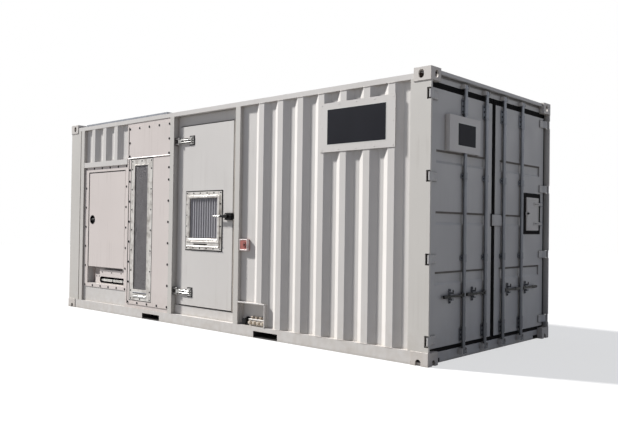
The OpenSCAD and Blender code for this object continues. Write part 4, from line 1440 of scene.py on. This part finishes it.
@dataclass
class PersonnelDoor(Assembly):
    """Fixings of the personnel door: hinge straps, vent, latch and lever."""

    body: str = "personnel_door"
    ridge: float = 14.0
    flange_drop: float = 12.0
    opening_left: float = 72.0
    opening_right: float = 64.0
    opening_low: float = 131.0
    opening_high: float = 75.0
    valleys: tuple[Span, ...] = ((-24.0, 5.0), (0.0, 6.5), (24.0, 5.0))
    edge_widths: Place = (8.0, 7.0, 9.0)
    slot_reach: Span = (91.0, 339.0)
    pin_inset: float = 12.0
    frame_inset: float = 24.0

    def build(self) -> None:
        """Everything on the personnel door."""
        self.strap_ridges()
        self.strap_bolts()
        self.hinge_caps()
        self.rubber_sheets()
        self.vent_screws()
        self.vent_rim()
        self.vent_sill()
        self.latch_details()
        self.lever_hub()
        self.lever_grip()
        self.keeper_screws()
        self.frame_seal()

    def strap_ridges(self) -> None:
        """The pressed ridges of the hinge straps."""
        maker = Maker(Side.FRONT)
        for strap in solids(Side.FRONT, "door_hinge_straps"):
            level = strap.middle[1]
            for shift in (-self.ridge, self.ridge):
                maker.rod([(strap.along[0] + 48, level + shift, strap.face - 17),
                           (strap.along[0] + 56, level + shift, strap.face - 14.6),
                           (strap.along[1] - 44, level + shift, strap.face - 14.6),
                           (strap.along[1] - 36, level + shift, strap.face - 17)], 5.5, 10)
        self.keep(maker, "hinge_strap_ridges", STAINLESS)

    def strap_bolts(self) -> None:
        """The bolts at the free end of the straps."""
        maker = Maker(Side.FRONT)
        for strap in solids(Side.FRONT, "door_hinge_straps"):
            for shift in (-29, 0, 29):
                maker.bolt(strap.along[1] - 15, strap.middle[1] + shift, strap.out[0] + 8, 13, 5)
        self.keep(maker, "hinge_strap_bolts", BOLT)

    def hinge_caps(self) -> None:
        """Domed caps on the hinge pins."""
        maker = Maker(Side.FRONT)
        for strap in solids(Side.FRONT, "door_hinge_straps"):
            middle = (strap.along[0] + self.pin_inset, strap.middle[1], strap.face - self.pin_inset)
            for way in (-1, 1):
                steps = [(way * reach, size) for reach, size in ((38, 11), (42, 11), (45, 8), (46, 3))]
                maker.turned(middle, Way.UP, steps)
        self.keep(maker, "hinge_pin_caps", STAINLESS, ROOT)

    def rubber_sheets(self) -> None:
        """Rubber under the straps and the vent and along the leaf's edges.

        It shows as the dark lines that shade draws there on the real door.
        """
        maker, vent = started(Side.FRONT, "door_vent_frame")
        base = whole(Side.FRONT, "personnel_door").face
        rims = [oblong(vent.along, vent.up)]
        for strap in solids(Side.FRONT, "door_hinge_straps"):
            level = strap.middle[1]
            rims.append(oblong((strap.along[1] - 70, strap.along[1]), about(level, 45)))
            for shift, half in self.valleys:
                maker.plate(oblong(inner(strap.along, 50, 40),
                                   (level + shift - half, level + shift + half)),
                            (strap.face - 15.2, strap.face - 14.6))
        for rim in rims:
            maker.moulding(rim, [(-12, base + 0.1), (-12, base + 2), (0.5, base + 2), (0.5, base + 0.1)])
        leaf = whole(Side.FRONT, "personnel_door")
        head, side, foot = self.edge_widths
        for along, up in ((leaf.along, (leaf.up[1] - head, leaf.up[1] - 0.2)),
                          ((leaf.along[1] - side, leaf.along[1] - 0.2), inner(leaf.up, foot, head)),
                          (leaf.along, (leaf.up[0] + 0.2, leaf.up[0] + foot))):
            maker.plate(oblong(along, up), (base, base + 0.8))
        # The black plate between the vent's foot bar and tube stands for the dark slot there: painted shade.
        sill = vent.up[0] + self.opening_low
        slot = [vent.along[0] + self.opening_left + reach for reach in self.slot_reach]
        maker.plate(oblong((slot[0], slot[1]), (sill - 79, sill - 60)), (vent.face - 7.8, vent.face - 7))
        self.keep(maker, "rubber_sheets", RUBBER)

    def vent_screws(self) -> None:
        """Screws round the vent's flange."""
        maker, vent = started(Side.FRONT, "door_vent_frame")
        for along, up in ring_places(inner(vent.along, 19), inner(vent.up, 17), 6, 6):
            maker.bolt(along, up, vent.face - self.flange_drop, 12, 4.6)
        self.keep(maker, "vent_flange_screws", BOLT)

    def vent_opening(self) -> Outline:
        """Outline of the vent's opening.

        Returns:
            Its points, anticlockwise.
        """
        vent = whole(Side.FRONT, "door_vent_frame")
        return oblong(inner(vent.along, self.opening_left, self.opening_right),
                      inner(vent.up, self.opening_low, self.opening_high))

    def vent_rim(self) -> None:
        """The mitred bright frame round the filter."""
        maker = Maker(Side.FRONT)
        face = whole(Side.FRONT, "door_vent_frame").face
        maker.moulding(self.vent_opening(), [(-31, face), (-28, face + 4), (-20, face + 7), (-8, face + 7),
                                             (-1, face + 1), (3, face - 9), (0.5, face - 12), (0.5, face)])
        self.keep(maker, "vent_mitred_frame", ALUMINIUM)

    def vent_sill(self) -> None:
        """The folded bar and the tube along the vent's foot."""
        maker, vent = started(Side.FRONT, "door_vent_frame")
        along = (vent.along[0] + self.opening_left - 31, vent.along[1] - self.opening_right + 31)
        foot = vent.up[0] + self.opening_low
        maker.plate(oblong(along, (foot - 54, foot - 31.5), 4), vent.proud(7), 2.5)
        maker.turned((along[0], foot - 95, vent.face - 3), Way.ALONG,
                     [(0, 5), (2, 10), (along[1] - along[0] - 2, 10), (along[1] - along[0], 5)], 16)
        self.keep(maker, "vent_foot_bars", SATIN)

    def latch_details(self) -> None:
        """Key barrel, padlock eye and screws of the latch."""
        maker, latch = started(Side.FRONT, "door_latch_body")
        level = latch.middle[1]
        maker.turned((latch.along[1] - 22, level, latch.face), Way.OUT,
                     [(0, 10), (4, 10), (5.5, 8.5), (5.5, 4), (3.5, 3.5)])
        for up in inner(latch.up, 11):
            for along in inner(latch.along, 12):
                maker.rivet(along, up, latch.face, 4, 2)
        turns = [math.radians(degrees) for degrees in range(-90, 91, 30)]
        eye = [(latch.along[1] - 2 + 9 * math.cos(t), level + 14 + 9 * math.sin(t), latch.face - 12)
               for t in turns]
        maker.rod(eye, 2.5, 8)
        self.keep(maker, "latch_barrel_and_eye", BLACK_COAT)

    def lever_hub(self) -> None:
        """Black cover over the lever's hub."""
        maker, lever = started(Side.FRONT, "door_lever")
        along, up = lever.along[1] - 20, lever.middle[1]
        maker.turned((along, up, lever.face), Way.OUT, [(-17, 21.5), (1.5, 21.5), (3, 18), (3.6, 10)], 28)
        arm = [(-112, -10), (-60, -15), (-14, -22), (0, -22), (0, 22), (-14, 22), (-60, 15), (-112, 10)]
        maker.plate([(along + a, up + u) for a, u in arm], (lever.face - 14, lever.face + 3.5), 2.5)
        self.keep(maker, "lever_hub_cover", BLACK_COAT, "door_lever")

    def lever_grip(self) -> None:
        """Rounded grip of the lever."""
        maker, lever = started(Side.FRONT, "door_lever")
        level = lever.middle[1]
        grip = [(0, 6), (3, 10), (12, 12.5), (60, 12), (110, 10.5), (116, 9)]
        maker.turned((lever.along[0] - 3, level, lever.face - 6), Way.ALONG, grip, 24)
        self.keep(maker, "lever_grip", STAINLESS, "door_lever")

    def keeper_screws(self) -> None:
        """Screws and strike of the latch keeper on the post."""
        maker = Maker(Side.FRONT)
        keeper = solids(Side.FRONT, "door_fixings")[-1]
        for up in inner(keeper.up, 11):
            maker.bolt(keeper.along[1] - 12, up, keeper.face, 10, 4)
        maker.plate(oblong((keeper.along[0] - 1, keeper.along[0] + 26), inner(keeper.up, 6), 4),
                    keeper.proud(6), 2)
        self.keep(maker, "latch_keeper_strike", BLACK_COAT, ROOT)

    def frame_seal(self) -> None:
        """Rubber seal that the door shuts into, along the edge of its frame."""
        maker, leaf = started(Side.FRONT, "personnel_door")
        opening = oblong((leaf.along[0] - 4.8, leaf.along[1] + 7.8), (leaf.up[0] - 4.8, leaf.up[1] + 4.8))
        out = (leaf.out[0] + 8, leaf.face - self.frame_inset - 2)
        maker.moulding(opening, [(0, out[0]), (0, out[1]), (1.6, out[1]), (2.4, sum(out) / 2), (1.6, out[0])])
        self.keep(maker, "door_frame_seal", GREY_SEAL, ROOT)


@dataclass
class SideFittings(Assembly):
    """What sits on the front side by the personnel door: the stop switch, the connection point, the sign."""

    knob: tuple[float, float] = (84.0, 62.0)
    film_margins: tuple[Span, Span] = ((90.0, 104.0), (72.0, 66.0))

    def build(self) -> None:
        """Everything on the wall."""
        self.switch_rim()
        self.switch_ring()
        self.switch_knob()
        self.coupling()
        self.block()
        self.block_caps()
        self.lip()
        self.sign_films()
        self.sign_rivets()

    def switch_rim(self) -> None:
        """Pale moulded rim of the stop switch, with its screws."""
        maker, box = started(Side.FRONT, "estop")
        face = box.face - 7
        edge = shrunk(oblong(box.along, box.up), -1.5)
        maker.moulding(edge, [(0, box.out[0] + 8), (0, face + 1), (2, face + 2.5), (9, face + 2.5),
                              (12, face)])
        for along in inner(box.along, 16):
            for up in inner(box.up, 16):
                maker.rivet(along, up, face, 4, 2)
        self.keep(maker, "stop_switch_rim", PALE_PLASTIC)

    def switch_knob(self) -> None:
        """The knob's cap, in a round collar."""
        maker, box = started(Side.FRONT, "estop")
        middle = (box.along[0] + self.knob[0], box.up[0] + self.knob[1], box.face - 7)
        maker.turned(middle, Way.OUT, [(0, 18), (2, 18), (3, 16), (3, 13.5), (6.6, 14.5), (7.6, 13),
                                       (7.9, 8)], 28)
        self.keep(maker, "stop_switch_knob", BLACK_COAT)

    def switch_ring(self) -> None:
        """Darker red ring that the knob sits in."""
        maker, box = started(Side.FRONT, "estop")
        middle = (box.along[0] + self.knob[0], box.up[0] + self.knob[1])
        maker.plate(circle(31, 28, middle), (box.face - 7, box.face - 5.6), 1.0)
        self.keep(maker, "stop_switch_ring", SHADED_RED)

    def coupling(self) -> None:
        """Black hose coupling with its locking ring and blanking cap."""
        maker, box = started(Side.FRONT, "connection_box")
        back = box.out[0] + 6
        middle = (box.along[0] + 86, box.up[0] + 46, back)
        maker.turned(middle, Way.OUT, [(0.2, 41), (6, 41), (8, 38), (8, 30), (26, 30), (28, 36), (50, 36),
                                       (52, 33), (66, 33), (69, 30), (69, 12)], 30)
        for turn in range(0, 360, 60):
            shift = (33 * math.cos(math.radians(turn)), 33 * math.sin(math.radians(turn)))
            maker.turned((middle[0] + shift[0], middle[1] + shift[1], back + 29), Way.OUT,
                         [(0, 6), (20, 6), (21, 4)], 10)
        self.keep(maker, "hose_coupling", BLACK_COAT)

    def block(self) -> None:
        """Painted valve block with a folded front edge."""
        maker, box = started(Side.FRONT, "connection_box")
        back = box.out[0] + 6
        along = inner(box.along, 150, 14)
        maker.plate(oblong(along, (box.up[0] + 0.5, box.up[0] + 62), 3), (back + 0.2, back + 52), 2.5)
        maker.plate(oblong((along[0] - 3, along[1] + 3), (box.up[0] + 62, box.up[0] + 74), 3),
                    (back + 0.2, back + 58), 2)
        self.keep(maker, "valve_block", WHITE)

    def block_caps(self) -> None:
        """Caps and taps of the valve block."""
        maker, box = started(Side.FRONT, "connection_box")
        back = box.out[0] + 6
        for along in spread(inner(box.along, 182, 46), 4):
            maker.turned((along, box.up[0] + 34, back + 52), Way.OUT,
                         [(0.2, 22), (5, 22), (6, 17), (14, 17), (16, 19), (26, 19), (28, 16), (28, 6)], 24)
            maker.plate(circle(14, 6, (along, box.up[0] + 84)), (back + 0.2, back + 24), 2)
            maker.turned((along, box.up[0] + 74, back + 34), Way.UP,
                         [(0.2, 9), (14, 9), (15, 13), (22, 13), (24, 10)])
        self.keep(maker, "valve_caps", CREAM_CAPS)

    def lip(self) -> None:
        """Stiffened front edges of the connection point."""
        maker, box = started(Side.FRONT, "connection_box")
        maker.plate(oblong(box.along, (box.up[1] - 12, box.up[1] + 2)), (box.face - 4, box.face + 4.5), 1.5)
        maker.plate(oblong((box.along[1] - 10, box.along[1] + 2), (box.up[0], box.up[1] - 12)),
                    (box.face - 4, box.face + 4.5), 1.5)
        self.keep(maker, "connection_point_lip", WHITE)

    def sign_films(self) -> None:
        """The plain dark field of the sign, over white film that shows as an edge."""
        self.lay_films(Side.FRONT, "side_sign_plate", self.film_margins, [
            ("sign_film_edge", 7, 0.5, 0.2, EDGE_FILM), ("sign_film_field", 0, 1.0, 0.3, SIGN_FILM)])

    def sign_rivets(self) -> None:
        """Rivets round the sign's plate."""
        maker, sign = started(Side.FRONT, "side_sign_plate")
        for along, up in ring_places(inner(sign.along, 22), inner(sign.up, 20), 5, 3):
            maker.rivet(along, up, sign.face, 6, 2.4)
        self.keep(maker, "sign_plate_rivets", WHITE)


@dataclass
class CargoDoor(Assembly):
    """What one cargo door leaf carries: bolts, rivets, seal lip, catches, cover and painted shade in the
    pressings.
    """

    name: str
    outward: int
    hinge_levels: tuple[float, ...] = (216.0, 922.0, 1641.0, 2357.0)
    foot: float = 12.0
    blade_inset: tuple[float, float] = (52.0, 88.0)
    cover_up: Span = (1225.0, 1335.0)
    cover_left: Span = (-36.0, -8.0)
    cover_right: Span = (-5.0, 150.0)
    swage_levels: tuple[float, ...] = (808.0, 1342.0, 1887.0)
    swage_start: float = 131.0
    swage_inset: float = 136.0
    hatch_gap: float = 28.0
    bracket_width: float = 92.0
    retainer_width: float = 30.0
    hinge_margin: float = 39.0
    meeting_margin: float = 30.0
    lip_margin: float = 27.0
    dirt_section: tuple[Span, ...] = ((1.0, 0.55), (19.0, 11.05), (19.4, 10.5), (1.4, 0.1))

    @property
    def body(self) -> str:
        """The leaf's body."""
        return f"cargo_door_{self.name}"

    def leaf(self) -> Block:
        """Box of the rubber ring round the leaf."""
        return max(solids(Side.DOORS, f"door_gasket_{self.name}"), key=lambda ring: ring.up[1])

    def fittings(self, width: float) -> list[Block]:
        """The fittings of one kind.

        Args:
            width: how wide that kind is.

        Returns:
            Their boxes.
        """
        found = solids(Side.DOORS, f"door_fittings_{self.name}")
        return [b for b in found if abs(b.along[1] - b.along[0] - width) < 2]

    def build(self) -> None:
        """Everything on the leaf."""
        self.bracket_bolts()
        self.hinge_rivets()
        self.seal_lip()
        self.catches()
        self.cover()
        self.swage_dirt()

    def bracket_bolts(self) -> None:
        """Bolts of the rod brackets and of the handle retainers."""
        maker = Maker(Side.DOORS)
        for guide in self.fittings(self.bracket_width):
            height = guide.up[1] - guide.up[0]
            rows = spread(inner(guide.up, 16), 3) if height > 60 else [guide.middle[1]]
            for along in inner(guide.along, 11):
                for up in rows:
                    maker.bolt(along, up, guide.out[0] + self.foot, 12, 5)
        for retainer in self.fittings(self.retainer_width):
            for up in inner(retainer.up, 12):
                maker.bolt(retainer.middle[0], up, retainer.out[0] + 8, 12, 5)
        self.keep(maker, f"bracket_bolts_{self.name}", BOLT)

    def hinge_rivets(self) -> None:
        """Rivets of the four hinge blades."""
        maker = Maker(Side.DOORS)
        edge = max(abs(a) for a in self.leaf().along) - self.hinge_margin
        face = whole(Side.DOORS, f"door_fittings_{self.name}").out[0] + self.foot
        for level in self.hinge_levels:
            for inset in self.blade_inset:
                for shift in (-26, 26):
                    maker.rivet(self.outward * (edge - inset), level + shift, face, 9, 4)
        self.keep(maker, f"hinge_rivets_{self.name}", WHITE)

    def seal_lip(self) -> None:
        """The raised inner lip of the rubber seal, and the pad under the left half of its cover."""
        maker = Maker(Side.DOORS)
        ring = self.leaf()
        face = ring.face
        low, high = sorted(abs(a) for a in ring.along)
        ends = low + self.meeting_margin, high - self.hinge_margin
        edge = oblong(tuple(sorted(self.outward * end for end in ends)), inner(ring.up, self.lip_margin))
        maker.moulding(edge, [(-6.5, face), (-5.5, face + 3.5), (-3.5, face + 5), (-1.5, face + 3.5),
                              (-1, face)])
        base = whole(Side.DOORS, f"door_fittings_{self.name}").out[0]
        if self.outward < 0:
            maker.plate(oblong((self.cover_left[0] - 13, self.cover_left[1] - 1), inner(self.cover_up, -9)),
                        (base + 0.2, base + 5.2))
        self.keep(maker, f"seal_lip_{self.name}", RUBBER)

    def catches(self) -> None:
        """Turning catches on the handle retainers."""
        maker = Maker(Side.DOORS)
        for retainer in self.fittings(self.retainer_width):
            middle, level = retainer.middle
            face = retainer.face
            maker.plate(oblong(about(middle, 7), (level + 22, level + 60), 5), (face, face + 6), 2)
            maker.turned((middle, level + 46, face + 6), Way.OUT, [(0, 6), (2.4, 5.5), (3, 4)], 14)
        self.keep(maker, f"handle_catches_{self.name}", BLACK_COAT)

    def cover(self) -> None:
        """This leaf's part of the painted cover plate over the middle of the seal."""
        maker = Maker(Side.DOORS)
        face = whole(Side.DOORS, f"door_fittings_{self.name}").out[0]
        along = self.cover_left if self.outward < 0 else self.cover_right
        maker.plate(oblong(along, self.cover_up, 3), (face + 5, face + 14), 2)
        self.keep(maker, f"seal_cover_{self.name}", SHADE_GREYED_WHITE)

    def swage_dirt(self) -> None:
        """Painted shade under the upper lip of each pressed groove: a thin dark film."""
        maker = Maker(Side.DOORS)
        face = whole(Side.DOORS, f"door_fittings_{self.name}").out[0]
        far = max(abs(a) for a in self.leaf().along) - self.swage_inset
        hatch = whole(Side.DOORS, "inspection_hatch")
        for level in self.swage_levels:
            film = [(level - drop, face - depth) for drop, depth in self.dirt_section]
            cut = self.outward > 0 and hatch.up[0] < level < hatch.up[1]
            end = hatch.along[0] - self.hatch_gap if cut else far
            maker.skin([[(self.outward * a, up, out) for up, out in film] for a in (self.swage_start, end)])
        self.keep(maker, f"swage_dirt_{self.name}", PRESSING_SHADE)


@dataclass
class DoorSign(Assembly):
    """The plain dark film on the box over the outer rod."""

    body: str = "cargo_door_left"
    margins: tuple[Span, Span] = ((150.0, 89.0), (64.0, 66.0))

    def build(self) -> None:
        """The film, over white film that shows as an edge."""
        self.lay_films(Side.DOORS, "door_sign_box", self.margins, [
            ("door_sign_edge", 6, 0.4, 0.2, EDGE_FILM), ("door_sign_field", 0, 0.8, 0.3, SIGN_FILM)])


@dataclass
class InspectionHatch(Assembly):
    """The small hatch in the right leaf: its pressed panel, hinge screws and turn knob."""

    body: str = "inspection_hatch"
    plate_left: float = 26.0
    plate_right: float = 38.0
    knob_rise: float = 179.0
    blade_levels: Span = (73.0, 284.0)
    screw_reaches: Place = (140.0, 105.0, 70.0)

    def build(self) -> None:
        """Everything on the hatch."""
        self.swage()
        self.screws()
        self.knob()

    def swage(self) -> None:
        """The pressed ridge inside the hatch's edge."""
        maker, hatch = started(Side.DOORS, "inspection_hatch")
        face = hatch.out[0] + 10
        edge = oblong((hatch.along[0] + self.plate_left + 14, hatch.along[1] - self.plate_right - 14),
                      inner(hatch.up, 14), 10)
        maker.moulding(edge, [(0, face), (2, face + 2), (6, face + 2.6), (10, face + 2), (12, face)])
        self.keep(maker, "inspection_hatch_ridge", WHITE)

    def screws(self) -> None:
        """Screws of its hinge blades."""
        maker, hatch = started(Side.DOORS, "inspection_hatch")
        face = hatch.face - 3
        for blade in self.blade_levels:
            for along in (hatch.along[1] - reach for reach in self.screw_reaches):
                maker.rivet(along, hatch.up[0] + blade, face, 6, 2.6)
        self.keep(maker, "inspection_hatch_screws", BOLT)

    def knob(self) -> None:
        """The turn knob that holds it shut."""
        maker, hatch = started(Side.DOORS, "inspection_hatch")
        middle = (hatch.along[0] + 34, hatch.up[0] + self.knob_rise, hatch.out[0] + 20)
        maker.turned(middle, Way.OUT, [(0, 13), (3, 13), (4, 11), (12, 11), (15, 8)], 20)
        maker.plate(oblong(about(middle[0], 22), about(middle[1], 5), 4), (middle[2] + 6, middle[2] + 16), 2)
        self.keep(maker, "inspection_hatch_knob", BLACK_COAT)


@dataclass
class LockRod(Assembly):
    """Collars and handle dressing of one door rod."""

    number: int
    outward: int
    rod_radius: float = 17.0
    cam_radius: float = 24.0
    axis_depth: float = 24.0
    handle_level: float = 580.0
    hub: float = 34.0
    boss: Span = (0.0, 62.0)
    bar: Span = (50.0, 300.0)
    grip: Span = (250.0, 361.0)
    bracket_tops: tuple[float, ...] = (276.0, 940.0, 1696.0)
    brackets_under: tuple[float, ...] = (900.0, 1656.0, 2255.0)

    @property
    def body(self) -> str:
        """The rod's body."""
        return f"lock_rod_{self.number}"

    def axis(self) -> tuple[float, float]:
        """Where the rod's axis stands.

        Returns:
            How far along and how far out.
        """
        rod = whole(Side.DOORS, self.body)
        along = rod.along[1] - self.cam_radius if self.outward < 0 else rod.along[0] + self.cam_radius
        return along, rod.out[0] + self.axis_depth

    def reach(self, span: Span) -> Span:
        """Where a part of the handle lies along the doors, from how far it reaches away from the rod."""
        return tuple(sorted(self.axis()[0] + self.outward * end for end in span))

    def build(self) -> None:
        """Collars, hub and grip."""
        self.collars()
        self.handle()

    def collars(self) -> None:
        """Stop collars over and under the brackets."""
        maker = Maker(Side.DOORS)
        along, out = self.axis()
        radius = self.rod_radius + 0.1
        for level, way in [(t, 1) for t in self.bracket_tops] + [(u, -1) for u in self.brackets_under]:
            steps = [(way * reach, radius + more)
                     for reach, more in ((1.5, 0), (1.5, 5.5), (11, 5.5), (13, 3), (13, 0))]
            maker.turned((along, level, out), Way.UP, steps, 24)
        self.keep(maker, f"rod_collars_{self.number}", GALVANISED)

    def handle(self) -> None:
        """Hub bolt and rounded grip of the handle."""
        maker = Maker(Side.DOORS)
        along, out = self.axis()
        level = self.handle_level
        maker.plate(oblong(self.reach(self.grip), about(level, 14), 8), (out, out + 17), 4)
        maker.bolt(along + self.outward * self.hub, level, out + 14, 17, 7)
        maker.plate(oblong(self.reach(self.boss), about(level, 19), 10), (out + 1, out + 15.5), 2.5)
        maker.plate(oblong(self.reach(self.bar), about(level, 9.5), 2), (out + 1, out + 15), 1.5)
        self.keep(maker, f"rod_handle_{self.number}", BLACK_COAT)


@dataclass
class Roof(Assembly):
    """Screws of the curb round the radiator's roof grille."""

    inset: float = 25.0
    columns: int = 9
    rows: int = 11

    def build(self) -> None:
        """The screws."""
        maker, curb = started(Side.ROOF, "roof_curb")
        for along, up in ring_places(inner(curb.along, self.inset), inner(curb.up, self.inset), self.columns,
                                     self.rows):
            maker.rivet(along, up, curb.face, 9, 2.4)
        self.keep(maker, "curb_screws", BOLT)


@dataclass
class RearSide(Assembly):
    """The long side across from the front: its bolts, and the hinges, latch and lever of its door."""

    strap_levels: tuple[float, float] = (395.0, 2200.0)
    lever_level: float = 1293.0

    def build(self) -> None:
        """Everything on the rear side but the intake."""
        self.wall_bolts()
        self.straps()
        self.strap_bolts()
        self.latch()
        self.lever()

    def wall_bolts(self) -> None:
        """Bolts of the service wall's plate."""
        maker, wall = started(Side.REAR, "rear_service_wall")
        along = inner(wall.along, 50, 40)
        for place in ring_places(along, inner(wall.up, 222, 24), 6, 7):
            maker.bolt(*place, wall.face, 15)
        self.keep(maker, "rear_wall_bolts", BOLT)

    def straps(self) -> None:
        """Strap hinges of the rear door."""
        maker, door = started(Side.REAR, "rear_door")
        for level in self.strap_levels:
            maker.plate(oblong((door.along[0] - 2, door.along[0] + 270), about(level, 32), 6),
                        door.proud(8), 2)
            maker.plate(oblong((door.along[0] + 225, door.along[0] + 295), about(level, 45), 8),
                        door.proud(6), 2)
            for shift in (-14, 14):
                maker.rod([(door.along[0] + 30, level + shift, door.face + 8),
                           (door.along[0] + 240, level + shift, door.face + 8)], 5, 10)
            maker.turned((door.along[0] - 10, level, door.face + 18), Way.UP,
                         [(-46, 3), (-44, 12), (44, 12), (46, 3)], 20)
            maker.plate(oblong((door.along[0] - 46, door.along[0] - 8), about(level, 40), 4),
                        (door.face - 6, door.face + 14), 2)
        self.keep(maker, "rear_hinge_straps", STAINLESS)

    def strap_bolts(self) -> None:
        """Bolts of those hinges."""
        maker, door = started(Side.REAR, "rear_door")
        for level in self.strap_levels:
            for shift in (-29, 0, 29):
                maker.bolt(door.along[0] + 281, level + shift, door.face + 6, 13, 5)
        self.keep(maker, "rear_strap_bolts", BOLT)

    def latch(self) -> None:
        """Body of the rear door's latch."""
        maker, door = started(Side.REAR, "rear_door")
        along = (door.along[1] - 122, door.along[1] - 17)
        level = self.lever_level
        maker.plate(oblong(along, about(level, 31), 8), door.proud(30), 3)
        maker.plate(oblong((door.along[1] + 8, door.along[1] + 64), about(level, 28), 6),
                    (door.face - 6, door.face + 18), 2)
        self.keep(maker, "rear_latch_body", BLACK_COAT)

    def lever(self) -> None:
        """Its lever."""
        maker, door = started(Side.REAR, "rear_door")
        pivot = (door.along[1] - 77, self.lever_level, door.face + 30)
        maker.turned(pivot, Way.OUT, [(0, 20), (14, 20), (17, 17), (18, 8)], 28)
        maker.turned((pivot[0] - 210, pivot[1], pivot[2] + 9), Way.ALONG,
                     [(0, 6), (3, 10), (12, 12), (110, 9.5), (200, 8), (206, 8)], 20)
        self.keep(maker, "rear_latch_lever", STAINLESS)


def dress_steelwork() -> None:
    """Gives each part of the construction its finish."""
    slots = {part["node"]: part["material_slot"] for part in frame["record"]["subparts"]}
    for name, node in frame["nodes"].items():
        finish = NODE_FINISHES.get(name, SLOT_FINISHES[slots[name]])
        for slot in node.material_slots:
            slot.material = finish.material()
        LOG.info("%s is finished in %s", name, finish.name)


def main() -> None:
    """Builds the scene and reports its pieces."""
    logging.basicConfig(level=logging.INFO, format="%(name)s: %(message)s")
    Studio().build()
    dress_steelwork()
    assemblies: list[Assembly] = [
        Seams(), Linings(), HatchBay(), IntakeBay(Side.FRONT), IntakeBay(Side.REAR), PersonnelDoor(),
        SideFittings(),
        CargoDoor("left", -1), CargoDoor("right", 1), DoorSign(), InspectionHatch(),
        LockRod(1, -1), LockRod(2, -1), LockRod(3, 1), LockRod(4, 1), Roof(), RearSide()]
    for assembly in assemblies:
        assembly.build()
        for piece in assembly.made:
            LOG.info("%s: %s, %d faces", type(assembly).__name__, piece.name, len(piece.data.polygons))


if __name__ == "__main__":
    main()
